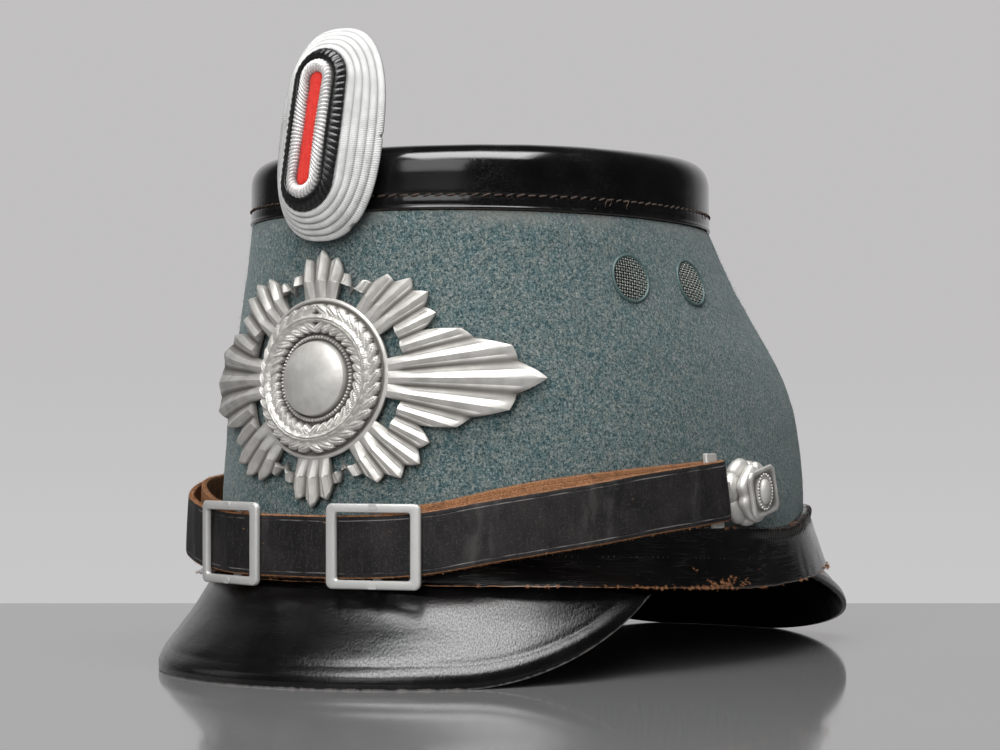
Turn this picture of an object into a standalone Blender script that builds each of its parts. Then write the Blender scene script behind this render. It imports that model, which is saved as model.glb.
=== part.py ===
"""A shako hat: felt body, leather crown top and base band, two visors, chin strap, metal fittings.

+X is the wearer's left, -Y the front and +Z up. The hat stands on the lower edges of its two
visors, on the plane z = 0, with the origin at the middle of its footprint. Sizes are in metres.
An angle round the hat is 0 at the front and 90 degrees at the wearer's left.
"""

from collections import namedtuple
from math import copysign, cos, hypot, pi, radians, sin

import bmesh
import bpy
from mathutils import Matrix, Vector

GAP = 0.0003  # clearance between two pieces that touch

# Felt body: its outer sections, from the foot up. widest_y is where a section is broadest.
Section = namedtuple("Section", "height half_width front_y back_y widest_y")
BODY_SECTIONS = (
    Section(0.0480, 0.0840, -0.1005, 0.1025, 0.0050),
    Section(0.0620, 0.0834, -0.0995, 0.1011, 0.0047),
    Section(0.0760, 0.0820, -0.0985, 0.0979, 0.0033),
    Section(0.0900, 0.0790, -0.0975, 0.0908, -0.0005),
    Section(0.1040, 0.0743, -0.0965, 0.0797, -0.0065),
    Section(0.1180, 0.0697, -0.0955, 0.0691, -0.0123),
    Section(0.1327, 0.0656, -0.0945, 0.0594, -0.0176),
)
OVAL_POWER = 2.15  # 2 is an ellipse, more is squarer
BODY_FOOT = 0.0270
BODY_WALL = 0.0030
NECK_WALL = 0.0021  # where the crown top grips it
NECK_TOP = 0.1450
INNER_HEIGHTS = (0.1327, 0.1080, 0.0830, 0.0560, 0.0270)
ROUND_STEPS = 56

# Crown top: a leather cap with its side turned down over the neck
CROWN_LOW = BODY_SECTIONS[-1].height + GAP
CROWN_HIGH = 0.1545
CROWN_SLOPE = 0.028  # its top falls this much towards the front
CROWN_PROUD = 0.0004
CROWN_THICK = 0.0019
CROWN_CORNER = 0.0095
CORNER_STEPS = 4

# Base band: its lower edge flares off the felt, most over the visors. A flare near 1 is a straight
# slope, as behind, and a high one turns out only at the lower edge, as in front.
BandRow = namedtuple("BandRow", "angle top low lip flare")
BAND_AROUND = (
    BandRow(0.0, 0.0445, 0.0275, 0.0070, 4.5),
    BandRow(25.0, 0.0442, 0.0272, 0.0072, 4.5),
    BandRow(50.0, 0.0436, 0.0266, 0.0080, 4.5),
    BandRow(70.0, 0.0430, 0.0248, 0.0045, 3.8),
    BandRow(90.0, 0.0412, 0.0232, 0.0032, 3.0),
    BandRow(101.0, 0.0410, 0.0240, 0.0048, 1.8),
    BandRow(112.0, 0.0440, 0.0249, 0.0063, 1.4),
    BandRow(124.0, 0.0462, 0.0264, 0.0082, 1.2),
    BandRow(155.0, 0.0464, 0.0278, 0.0090, 1.2),
    BandRow(180.0, 0.0462, 0.0280, 0.0092, 1.2),
)
BAND_THICK = 0.0016
BAND_TOP_PROUD = BAND_THICK + GAP
BAND_ROWS = (0.0, 0.4, 0.72, 0.88, 1.0)
BAND_INNER_ROWS = (1.0, 0.75, 0.0)

# Visors: plan of the lower edge, and how far it lifts off the ground towards the ends. The top is
# lower by top_drop at the ends, to pass under the base band's lip. A slope's pairs are the shares
# of its run outwards and of its fall; the front visor is nearly flat and the rear one bulges.
Visor = namedtuple(
    "Visor",
    "name facing widest_y half_width reach power end_angle flat_angle end_lift lift_power top_drop"
    " slope steps",
)
FRONT_SLOPE = ((0.0, 0.0), (0.21, 0.20), (0.42, 0.40), (0.65, 0.58), (0.87, 0.76), (0.98, 0.89))
REAR_SLOPE = ((0.0, 0.0), (0.30, 0.10), (0.50, 0.27), (0.70, 0.49), (0.87, 0.72), (0.98, 0.89))
VISORS = (
    Visor(
        "front_visor", -1, -0.046, 0.078, 0.086, 2.0, 62.8, 45.0, 0.0235, 1.8, 0.0062, FRONT_SLOPE, 30
    ),
    Visor("rear_visor", 1, 0.054, 0.078, 0.078, 2.3, 62.5, 14.0, 0.0240, 1.5, 0.0038, REAR_SLOPE, 24),
)
VISOR_THICK = 0.0019
VISOR_TOP = 0.0293
VISOR_RIM = 0.0026

# Chin strap: two looped straps. Rows give the middle of the outer layer; the right one sags more.
StrapRow = namedtuple("StrapRow", "angle left right")
STRAP_ROWS = (
    StrapRow(0.0, 0.0378, 0.0378),
    StrapRow(10.0, 0.0379, 0.0379),
    StrapRow(22.8, 0.0392, 0.0387),
    StrapRow(35.2, 0.0429, 0.0411),
    StrapRow(51.7, 0.0472, 0.0446),
    StrapRow(62.4, 0.0500, 0.0468),
    StrapRow(77.2, 0.0528, 0.0505),
)
STRAP_WIDE = 0.0176
STRAP_TILT = 0.0014  # its lower edge stands out and its upper edge in by this, at the side bars
STRAP_THICK = 0.0016
STRAP_FRONT_PROUD = 0.0110  # outer face of the outer layer, off the felt
STRAP_SIDE_PROUD = 0.0076
LAYER_SPACE = 0.0022  # between the two layers, where the bars pass
INNER_LIFT = 0.0018  # the inner layer rides a little higher at the front
STRAP_BAR_ANGLE = 77.2
STRAP_INNER_END = 13.0
FOLD_STEPS = 4
STRAP_STEP = radians(4.0)
TUCK_START = radians(25.0)  # where the right strap dips under the left one's end
TUCK_RUN = radians(4.0)

BUCKLE_ANGLE = 14.4
BUCKLE_WIDE = 0.0295
BUCKLE_HALF_HIGH = 0.0114
BUCKLE_SIDE_BAR = 0.0030
BUCKLE_THICK = 0.0019
BUCKLE_PIN_WIDE = 0.0032

BAR_WIDE = 0.0050
BAR_THICK = LAYER_SPACE - 2 * GAP
BAR_OVERHANG = 0.0022
TONGUE_HIGH = 0.0054

# Side rosettes, on the felt
ROSETTE_HEIGHT = 0.0520
ROSETTE_Y = -0.0055
ROSETTE_STEPS = 20
RosetteRow = namedtuple("RosetteRow", "radius out lobes depth")
ROSETTE_ROWS = (
    RosetteRow(0.0076, 0.0004, 8, 0.00),
    RosetteRow(0.0080, 0.0024, 8, 0.00),
    RosetteRow(0.0100, 0.0027, 8, 0.06),
    RosetteRow(0.0098, 0.0044, 8, 0.06),
    RosetteRow(0.0070, 0.0054, 8, 0.00),
    RosetteRow(0.0080, 0.0066, 4, -0.14),
    RosetteRow(0.0076, 0.0086, 4, -0.14),
    RosetteRow(0.0054, 0.0084, 4, 0.00),
    RosetteRow(0.0042, 0.0098, 4, 0.00),
    RosetteRow(0.0022, 0.0108, 4, 0.00),
)

# Vents: two on each side
VENT_HEIGHT = 0.1145
VENT_FRONT_Y = -0.0401
VENT_BACK_Y = -0.0115
VENT_BARREL = 0.0066
VENT_BORE = 0.0060
VENT_FLANGE = 0.0075
VENT_STEPS = 14

# Cockade: oval shell with two corded rings and a felt core, leaning back on the crown top
COCKADE_X = 0.0016
COCKADE_MID = 0.1552
COCKADE_LEAN = radians(7.0)
COCKADE_ROLL = radians(1.5)
COCKADE_BACK_Y = BODY_SECTIONS[-1].front_y - CROWN_PROUD - 0.0009
COCKADE_POWER = 2.5
COCKADE_DROOP = 0.05  # how far its face hangs below its rim, for each length that it stands out
COCKADE_STEPS = 32
OvalRow = namedtuple("OvalRow", "half_width half_height out")
SHELL_OUTSIDE = (
    OvalRow(0.0098, 0.0238, 0.0086),
    OvalRow(0.0130, 0.0264, 0.0063),
    OvalRow(0.0163, 0.0291, 0.0033),
    OvalRow(0.0187, 0.0312, 0.0004),
)
SHELL_INSIDE = (
    OvalRow(0.0180, 0.0305, 0.0000),
    OvalRow(0.0162, 0.0288, 0.0016),
    OvalRow(0.0104, 0.0234, 0.0054),
)
BLACK_RING = (
    OvalRow(0.0096, 0.0236, 0.0089),
    OvalRow(0.0091, 0.0231, 0.0102),
    OvalRow(0.0067, 0.0212, 0.0115),
    OvalRow(0.0063, 0.0208, 0.0089),
)
WHITE_RING = (
    OvalRow(0.0060, 0.0205, 0.0089),
    OvalRow(0.0056, 0.0201, 0.0122),
    OvalRow(0.0045, 0.0190, 0.0128),
    OvalRow(0.0032, 0.0176, 0.0124),
    OvalRow(0.0027, 0.0171, 0.0089),
)
CORE = (
    OvalRow(0.0024, 0.0168, 0.0089),
    OvalRow(0.0022, 0.0166, 0.0112),
    OvalRow(0.0012, 0.0156, 0.0117),
)
PRONG_WIDE = 0.0060
PRONG_THICK = 0.0012
PRONG_LOW = 0.1345
PRONG_BEND = 0.1530
PRONG_STEP = 0.1590
PRONG_HIGH = 0.1680

# Front plate: a rayed star round a wreath and a plain boss, with gaps cut through it
PLATE_MID = 0.0852
PLATE_STAND = 0.0020
PLATE_THICK = 0.0014
STAR_REACH_WIDE = 0.0680
STAR_REACH_HIGH = 0.0368
STAR_POWER = 1.35
STAR_POINTS = 8
RAYS_IN_POINT = 5
STAR_NOTCH = 0.24
RAY_NOTCH = 0.05
BOSS_RADIUS = 0.0112
WREATH_INNER = 0.0126
WREATH_MIDDLE = 0.0172
WREATH_OUTER = 0.0218
SLOT_INNER = 0.0232
SLOT_OUTER = 0.0280


def clear_scene():
    for thing in list(bpy.data.objects):
        bpy.data.objects.remove(thing, do_unlink=True)


def finish_material(name, colour, roughness, metallic):
    material = bpy.data.materials.new(name)
    material.use_nodes = True
    shader = material.node_tree.nodes["Principled BSDF"]
    shader.inputs["Base Color"].default_value = (*colour, 1.0)
    shader.inputs["Roughness"].default_value = roughness
    shader.inputs["Metallic"].default_value = metallic
    return material


def add_object(name, mesh_data, material, sharp=radians(35)):
    """Turns a closed bmesh into an object with its faces outwards and its round sides smooth."""
    bmesh.ops.recalc_face_normals(mesh_data, faces=mesh_data.faces)
    mesh = bpy.data.meshes.new(name)
    mesh_data.to_mesh(mesh)
    mesh_data.free()
    mesh.shade_smooth()
    mesh.set_sharp_from_angle(angle=sharp)
    mesh.materials.append(material)
    thing = bpy.data.objects.new(name, mesh)
    bpy.context.scene.collection.objects.link(thing)
    return thing


def loft(rings, closed_along=False):
    """A solid through closed rings of points: joined end to start, or with both ends capped."""
    solid = bmesh.new()
    rows = [[solid.verts.new(point) for point in ring] for ring in rings]
    pairs = list(zip(rows, rows[1:]))
    if closed_along:
        pairs.append((rows[-1], rows[0]))
    else:
        solid.faces.new(rows[0])
        solid.faces.new(rows[-1])
    for lower, upper in pairs:
        for i in range(len(lower)):
            j = (i + 1) % len(lower)
            solid.faces.new((lower[i], lower[j], upper[j], upper[i]))
    return solid


def cell_solid(edges, filled, place):
    """A solid of grid cells: each filled cell shows a face wherever its neighbour is empty."""
    solid = bmesh.new()
    corners = {}

    def corner(*index):
        if index not in corners:
            corners[index] = solid.verts.new(place(*(edges[k][index[k]] for k in range(3))))
        return corners[index]

    for cell in filled:
        for axis in range(3):
            for side in (0, 1):
                beyond = list(cell)
                beyond[axis] += 2 * side - 1
                if tuple(beyond) in filled:
                    continue
                low = list(cell)
                low[axis] += side
                a, b = [k for k in range(3) if k != axis]
                loop = []
                for da, db in ((0, 0), (1, 0), (1, 1), (0, 1)):
                    index = list(low)
                    index[a] += da
                    index[b] += db
                    loop.append(corner(*index))
                solid.faces.new(loop)
    return solid


def turned(rows, steps, place, lobed=False):
    """Rings round an axis, from (radius, out) rows or from rosette rows with lobes."""
    rings = []
    for row in rows:
        ring = []
        for step in range(steps):
            turn = 2 * pi * step / steps
            radius = row.radius * (1 + row.depth * cos(row.lobes * turn)) if lobed else row[0]
            ring.append(place(radius * cos(turn), radius * sin(turn), row[1]))
        rings.append(ring)
    return rings


def smooth_value(rows, key, column, at):
    """Reads a column of a table of named rows on a smooth curve through the rows."""
    keys = [getattr(row, key) for row in rows]
    values = [getattr(row, column) for row in rows]
    if at <= keys[0]:
        return values[0]
    if at >= keys[-1]:
        return values[-1]
    i = max(k for k in range(len(keys) - 1) if keys[k] <= at)

    def slope(k):
        if k == 0 or k == len(keys) - 1:
            near = min(k, len(keys) - 2)
            return (values[near + 1] - values[near]) / (keys[near + 1] - keys[near]) if k else 0.0
        return (values[k + 1] - values[k - 1]) / (keys[k + 1] - keys[k - 1])

    span = keys[i + 1] - keys[i]
    t = (at - keys[i]) / span
    return (
        (2 * t**3 - 3 * t**2 + 1) * values[i]
        + (t**3 - 2 * t**2 + t) * span * slope(i)
        + (3 * t**2 - 2 * t**3) * values[i + 1]
        + (t**3 - t**2) * span * slope(i + 1)
    )


def super_cos_sin(angle, power):
    c, s = cos(angle), sin(angle)
    return copysign(abs(c) ** (2 / power), c), copysign(abs(s) ** (2 / power), s)


def body_point(height, angle, grow=0.0):
    """A point on the felt's outer face, or grow outside it."""
    half_width, front_y, back_y, widest_y = (
        smooth_value(BODY_SECTIONS, "height", column, height) for column in Section._fields[1:]
    )
    along, across = super_cos_sin(angle, OVAL_POWER)
    reach = (widest_y - front_y if along > 0 else back_y - widest_y) + grow
    return Vector(((half_width + grow) * across, widest_y - reach * along, height))


def body_ring(height, grow=0.0, steps=ROUND_STEPS):
    return [body_point(height, 2 * pi * step / steps, grow) for step in range(steps)]


def angle_at_y(height, y, grow=0.0):
    """The angle on the wearer's left where the body's section passes y."""
    low, high = 0.0, pi
    for _ in range(40):
        middle = (low + high) / 2
        if body_point(height, middle, grow).y < y:
            low = middle
        else:
            high = middle
    return low


def angle_along(distance, height, grow, steps=90):
    """The angle reached by going a distance round the front, from the middle."""
    step = radians(100) / steps
    walked = 0.0
    here = body_point(height, 0.0, grow)
    for i in range(1, steps + 1):
        there = body_point(height, i * step, grow)
        length = (there - here).length
        if walked + length >= abs(distance):
            return copysign((i - 1 + (abs(distance) - walked) / length) * step, distance)
        walked, here = walked + length, there
    return copysign(radians(100), distance)


def facing_frame(height, angle):
    """A place on the felt with its outward normal as local Z and a level local X."""
    step = 0.002
    level = (body_point(height, angle + step) - body_point(height, angle - step)).normalized()
    upward = body_point(height + step, angle) - body_point(height - step, angle)
    outward = level.cross(upward).normalized()
    if outward.dot(body_point(height, angle, 0.01) - body_point(height, angle)) < 0:
        outward = -outward
    turned_up = outward.cross(level).normalized()
    turn = Matrix((level, turned_up, outward)).transposed().to_4x4()
    return Matrix.Translation(body_point(height, angle)) @ turn


def crown_point(height, angle, grow):
    """A point under or on the crown top, whose upper parts fall a little towards the front."""
    point = body_point(height, angle, grow)
    share = (height - CROWN_LOW) / (CROWN_HIGH - CROWN_LOW)
    point.z += CROWN_SLOPE * point.y * share
    return point


def crown_ring(height, grow):
    return [crown_point(height, 2 * pi * step / ROUND_STEPS, grow) for step in range(ROUND_STEPS)]


def mirrored(place, side):
    """The same placing on the wearer's left (side 1) or right (side -1)."""

    def put(*where):
        point = place(*where)
        return Vector((side * point.x, point.y, point.z))

    return put


def build_crown_wall(material):
    top = BODY_SECTIONS[-1].height
    neck = -(CROWN_THICK - CROWN_PROUD + GAP)
    middle_heights = [section.height for section in BODY_SECTIONS[:-1]]
    rings = [body_ring(height) for height in [BODY_FOOT, *middle_heights, top]]
    rings += [body_ring(top, neck), crown_ring(NECK_TOP, neck), crown_ring(NECK_TOP, neck - NECK_WALL)]
    rings += [body_ring(height, -BODY_WALL) for height in INNER_HEIGHTS]
    wall = add_object("crown_wall", loft(rings, closed_along=True), material)
    for name, frame, side in vent_places():
        hole = turned(((VENT_BARREL + GAP, -0.006), (VENT_BARREL + GAP, 0.006)), VENT_STEPS, frame)
        cutter = add_object("cut_" + name, loft(hole), material)
        cutter.hide_render = True
        cutter.display_type = "WIRE"
        cut = wall.modifiers.new("cut_" + name, "BOOLEAN")
        cut.object = cutter
        cut.operation = "DIFFERENCE"
    return wall


def build_crown_top(material):
    centre = CROWN_PROUD - CROWN_CORNER
    turn = CROWN_HIGH - CROWN_CORNER
    inside = CROWN_CORNER - CROWN_THICK
    quarter = [pi / 2 * step / CORNER_STEPS for step in range(CORNER_STEPS + 1)]
    profile = [(centre + CROWN_CORNER * sin(a), turn + CROWN_CORNER * cos(a)) for a in quarter]
    profile.append((CROWN_PROUD, CROWN_LOW))
    profile.append((CROWN_PROUD - CROWN_THICK, CROWN_LOW))
    profile += [(centre + inside * sin(a), turn + inside * cos(a)) for a in quarter[::-2]]
    return add_object("crown_top", loft([crown_ring(z, grow) for grow, z in profile]), material)


def build_base_band(material):
    def point(row, step, inwards):
        turn = 360 * step / ROUND_STEPS
        mirror = min(turn, 360 - turn)
        top, low, lip, flare = (
            smooth_value(BAND_AROUND, "angle", name, mirror) for name in BandRow._fields[1:]
        )
        proud = BAND_TOP_PROUD + (lip - BAND_TOP_PROUD) * row**flare
        return body_point(top + (low - top) * row, radians(turn), proud - inwards)

    rings = [[point(row, step, 0.0) for step in range(ROUND_STEPS)] for row in BAND_ROWS]
    rings += [[point(row, step, BAND_THICK) for step in range(ROUND_STEPS)] for row in BAND_INNER_ROWS]
    return add_object("base_band", loft(rings, closed_along=True), material)


def visor_section(visor, turn):
    """The closed cross-section of a visor: down its outer face, round the rim, up its inner face."""
    share = abs(turn) / (pi / 2)
    end = radians(visor.end_angle) * turn / (pi / 2)
    seat = end if visor.facing < 0 else pi - end
    high = VISOR_TOP - visor.top_drop * share**2.5
    top = body_point(BODY_FOOT, seat, VISOR_THICK + 2 * GAP)
    flat = radians(visor.flat_angle)
    lift = max(0.0, (abs(turn) - flat) / (pi / 2 - flat)) ** visor.lift_power
    low = visor.end_lift * lift
    along, across = super_cos_sin(turn, visor.power)
    foot = Vector((visor.half_width * across, visor.widest_y + visor.facing * visor.reach * along, 0))
    run = Vector((foot.x - top.x, foot.y - top.y, 0))
    length = max(run.length, 1e-5)
    outward = Vector(run / length)
    drop = high - low
    slant = hypot(length, drop)
    inwards = Vector((0, 0, -length / slant)) - outward * (drop / slant)
    start = Vector((top.x, top.y, 0))

    def at(out, height):
        return start + outward * out + Vector((0, 0, height))

    rim = min(VISOR_RIM, drop * 0.4)
    outer = [at(length * out, high - drop * down) for out, down in visor.slope]
    lip = [at(length, low + rim * 0.8), at(length - 0.0004, low), at(length - 0.0004 - VISOR_THICK, low)]
    inner = [point + inwards * VISOR_THICK for point in outer[:-1]]
    inner = inner[::2]
    for point in inner:
        point.z = max(point.z, low + rim * 0.5)
    return outer + lip + inner[::-1]


def build_visor(visor, material):
    sections = []
    for step in range(visor.steps + 1):
        turn = (pi / 2) * (2 * step / visor.steps - 1)
        sections.append(visor_section(visor, turn))
    return add_object(visor.name, loft(sections), material)


def strap_middle(angle, side):
    spot = min(abs(angle) * 180 / pi, STRAP_ROWS[-1].angle)
    return smooth_value(STRAP_ROWS, "angle", "left" if side > 0 else "right", spot)


def bar_share(angle):
    return min(abs(angle) / radians(STRAP_BAR_ANGLE), 1.0)


def strap_proud(angle):
    """How far the outer face of the strap's outer layer stands off the felt."""
    return STRAP_FRONT_PROUD + (STRAP_SIDE_PROUD - STRAP_FRONT_PROUD) * bar_share(angle) ** 4


def strap_section(angle, side, outer, inner, lift=0.0):
    """The four corners of a layer between two distances off the felt, on the wearer's left."""
    tilt = STRAP_TILT * bar_share(angle) ** 2
    middle = strap_middle(angle, side) + lift
    corners = []
    for proud, end in ((outer, -1), (outer, 1), (inner, 1), (inner, -1)):
        point = body_point(BODY_FOOT, angle, proud - end * tilt)
        corners.append(Vector((point.x, point.y, middle + end * STRAP_WIDE / 2)))
    return corners


def inner_lift(angle):
    return INNER_LIFT * (1 - bar_share(angle) ** 3)


def bar_frame(side):
    """Where the side bar lies in the strap's fold: local X along the strap, Y up and Z outwards."""
    bar = radians(STRAP_BAR_ANGLE)
    middle = strap_middle(bar, side)
    inwards = STRAP_THICK + LAYER_SPACE / 2
    low, high = (
        Vector((*body_point(BODY_FOOT, bar, strap_proud(bar) - inwards - end * STRAP_TILT).xy,
                middle + end * STRAP_WIDE / 2))
        for end in (-1, 1)
    )
    upward = (high - low).normalized()
    along = body_point(BODY_FOOT, bar + 0.01) - body_point(BODY_FOOT, bar - 0.01)
    outward = along.cross(upward).normalized()
    if outward.x < 0:
        outward = -outward
    along = (along - upward * along.dot(upward)).normalized()
    turn = Matrix((along, upward, outward)).transposed().to_4x4()
    return Matrix.Translation((low + high) / 2) @ turn


def build_strap(side_name, side, outer_end, inner_end, tuck, material):
    """One strap: its outer layer from the front to the side bar, the fold, and the layer behind."""
    bar = radians(STRAP_BAR_ANGLE)

    def spread(start, stop):
        count = max(2, round(abs(stop - start) / STRAP_STEP))
        return [start + (stop - start) * k / count for k in range(count + 1)]

    sections = []
    for angle in spread(radians(outer_end), bar):
        turn = pi * min(1, max(0, (TUCK_START - angle) / TUCK_RUN))
        outer = strap_proud(angle) - tuck * 0.5 * (1 - cos(turn)) * (STRAP_THICK + GAP)
        sections.append(strap_section(angle, side, outer, outer - STRAP_THICK))
    frame = bar_frame(side)
    near = LAYER_SPACE / 2
    far = near + STRAP_THICK
    for k in range(1, FOLD_STEPS):
        turn = pi * k / FOLD_STEPS
        sections.append([
            frame @ Vector((radius * sin(turn), end * STRAP_WIDE / 2, radius * cos(turn)))
            for radius, end in ((far, -1), (far, 1), (near, 1), (near, -1))
        ])
    for angle in spread(bar, radians(inner_end)):
        face = strap_proud(angle) - STRAP_THICK - LAYER_SPACE
        sections.append(strap_section(angle, side, face - STRAP_THICK, face, inner_lift(angle)))
    sections = [[Vector((side * p.x, p.y, p.z)) for p in section] for section in sections]
    strap = add_object("chin_strap_" + side_name, loft(sections), material)

    half = TONGUE_HIGH / 2 + GAP
    room = BAR_THICK / 2 + GAP
    place = mirrored(lambda along, up, out: frame @ Vector((along, up, out)), side)
    slot = cell_solid(((0.0004, 0.0060), (-half, half), (-room, room)), {(0, 0, 0)}, place)
    cutter = add_object("cut_fold_" + side_name, slot, material)
    cutter.hide_render = True
    cutter.display_type = "WIRE"
    cut = strap.modifiers.new("fold_slot", "BOOLEAN")
    cut.object = cutter
    cut.operation = "DIFFERENCE"


def build_buckle(side_name, side, material):
    """A square slide: a frame over the strap and a pin behind it, joined above and below."""
    middle = radians(BUCKLE_ANGLE)
    half = BUCKLE_WIDE / 2
    pin = BUCKLE_PIN_WIDE / 2
    window = half - BUCKLE_SIDE_BAR
    high = STRAP_WIDE / 2 + 2 * GAP
    back = STRAP_THICK + LAYER_SPACE - GAP
    height = strap_middle(middle, side)

    def place(along, up, out):
        angle = middle + angle_along(along, BODY_FOOT, STRAP_FRONT_PROUD)
        point = body_point(BODY_FOOT, angle, STRAP_FRONT_PROUD + out)
        return Vector((side * point.x, point.y, height + up))

    edges = (
        (-half, -window, -window / 2, -pin, pin, window / 2, window, half),
        (-BUCKLE_HALF_HIGH, -high, high, BUCKLE_HALF_HIGH),
        (-back, -STRAP_THICK - GAP, GAP, GAP + BUCKLE_THICK),
    )
    columns = len(edges[0]) - 1
    filled = {(i, j, 2) for i in range(columns) for j in range(3) if j != 1 or i in (0, columns - 1)}
    filled |= {(columns // 2, 0, 1), (columns // 2, 2, 1)}
    filled |= {(columns // 2, j, 0) for j in range(3)}
    return add_object("buckle_" + side_name, cell_solid(edges, filled, place), material)


def build_hanger(side_name, side, material):
    """The bar in the strap's fold, with the tongue that carries it from the rosette."""
    frame = bar_frame(side)
    place = mirrored(lambda along, up, out: frame @ Vector((along, up, out)), side)
    rosette = body_point(ROSETTE_HEIGHT, angle_at_y(ROSETTE_HEIGHT, ROSETTE_Y))
    tongue_end = (frame.inverted() @ rosette).x - max(row.radius for row in ROSETTE_ROWS) - 0.0011
    edges = (
        (-BAR_WIDE, 0.0, tongue_end),
        (-STRAP_WIDE / 2 - BAR_OVERHANG, -TONGUE_HIGH / 2, TONGUE_HIGH / 2, STRAP_WIDE / 2 + BAR_OVERHANG),
        (-BAR_THICK / 2, BAR_THICK / 2),
    )
    filled = {(0, j, 0) for j in range(3)} | {(1, 1, 0)}
    return add_object("hanger_" + side_name, cell_solid(edges, filled, place), material)


def build_rosette(side_name, side, material):
    frame = facing_frame(ROSETTE_HEIGHT, angle_at_y(ROSETTE_HEIGHT, ROSETTE_Y))
    place = mirrored(lambda x, y, out: frame @ Vector((x, y, out)), side)
    rings = turned(ROSETTE_ROWS, ROSETTE_STEPS, place, lobed=True)
    return add_object("rosette_" + side_name, loft(rings), material)


def vent_places():
    """Name, placing function and side of each vent."""
    for side, side_name in ((1, "left"), (-1, "right")):
        for y, place_name in ((VENT_FRONT_Y, "front"), (VENT_BACK_Y, "back")):
            frame = facing_frame(VENT_HEIGHT, angle_at_y(VENT_HEIGHT, y))
            place = mirrored(lambda x, y, out, frame=frame: frame @ Vector((x, y, out)), side)
            yield f"vent_{side_name}_{place_name}", place, side


def build_vents(ring_material, mesh_material):
    ring_rows = (
        (VENT_BARREL, GAP),
        (VENT_FLANGE, GAP),
        (VENT_FLANGE - 0.0002, 0.0010),
        (VENT_BORE, 0.0014),
        (VENT_BORE, -0.0036),
        (VENT_BARREL, -0.0036),
    )
    mesh_radius = VENT_BORE - GAP
    mesh_rows = ((mesh_radius, 0.0002), (mesh_radius, 0.0008))
    for name, place, side in vent_places():
        add_object(name + "_ring", loft(turned(ring_rows, VENT_STEPS, place), True), ring_material)
        add_object(name + "_mesh", loft(turned(mesh_rows, VENT_STEPS, place)), mesh_material)


def cockade_frame():
    turn = Matrix.Rotation(COCKADE_ROLL, 4, "Y") @ Matrix.Rotation(-COCKADE_LEAN, 4, "X")
    return Matrix.Translation((COCKADE_X, COCKADE_BACK_Y, COCKADE_MID)) @ turn


def cockade_rings(rows):
    frame = cockade_frame()
    rings = []
    for row in rows:
        ring = []
        for step in range(COCKADE_STEPS):
            upward, sideways = super_cos_sin(2 * pi * step / COCKADE_STEPS, COCKADE_POWER)
            height = row.half_height * upward - COCKADE_DROOP * row.out
            ring.append(frame @ Vector((row.half_width * sideways, -row.out, height)))
        rings.append(ring)
    return rings


def build_cockade(silver, black_cord, white_cord, red_felt, steel):
    add_object("cockade_shell", loft(cockade_rings(SHELL_OUTSIDE + SHELL_INSIDE)), silver)
    add_object("cockade_black_ring", loft(cockade_rings(BLACK_RING), True), black_cord)
    add_object("cockade_white_ring", loft(cockade_rings(WHITE_RING), True), white_cord)
    add_object("cockade_core", loft(cockade_rings(CORE)), red_felt)
    build_prong(steel)


def build_prong(steel):
    """A flat prong, seated on the crown top's side below and on the shell's hollow back above."""
    frame = cockade_frame()

    def back_of_shell(height):
        return (frame @ Vector((0, GAP - SHELL_INSIDE[-1].out, height - COCKADE_MID))).y + PRONG_THICK

    rest = BODY_SECTIONS[-1].front_y - CROWN_PROUD - GAP
    path = ((PRONG_LOW, rest), (PRONG_BEND, rest),
            (PRONG_STEP, back_of_shell(PRONG_STEP)), (PRONG_HIGH, back_of_shell(PRONG_HIGH)))
    half = PRONG_WIDE / 2
    sections = [
        [Vector((COCKADE_X + x, y - out, z)) for x, out in
         ((-half, 0), (half, 0), (half, PRONG_THICK), (-half, PRONG_THICK))]
        for z, y in path
    ]
    add_object("cockade_prong", loft(sections), steel)


def star_radius(turn):
    """Distance from the middle of the star to the ends of its rays."""
    wide = (abs(sin(turn)) / STAR_REACH_WIDE) ** STAR_POWER
    high = (abs(cos(turn)) / STAR_REACH_HIGH) ** STAR_POWER
    oval = (wide + high) ** (-1 / STAR_POWER)
    return oval * (1 - STAR_NOTCH * (1 - abs(cos(turn * STAR_POINTS / 2)) ** 0.8))


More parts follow.
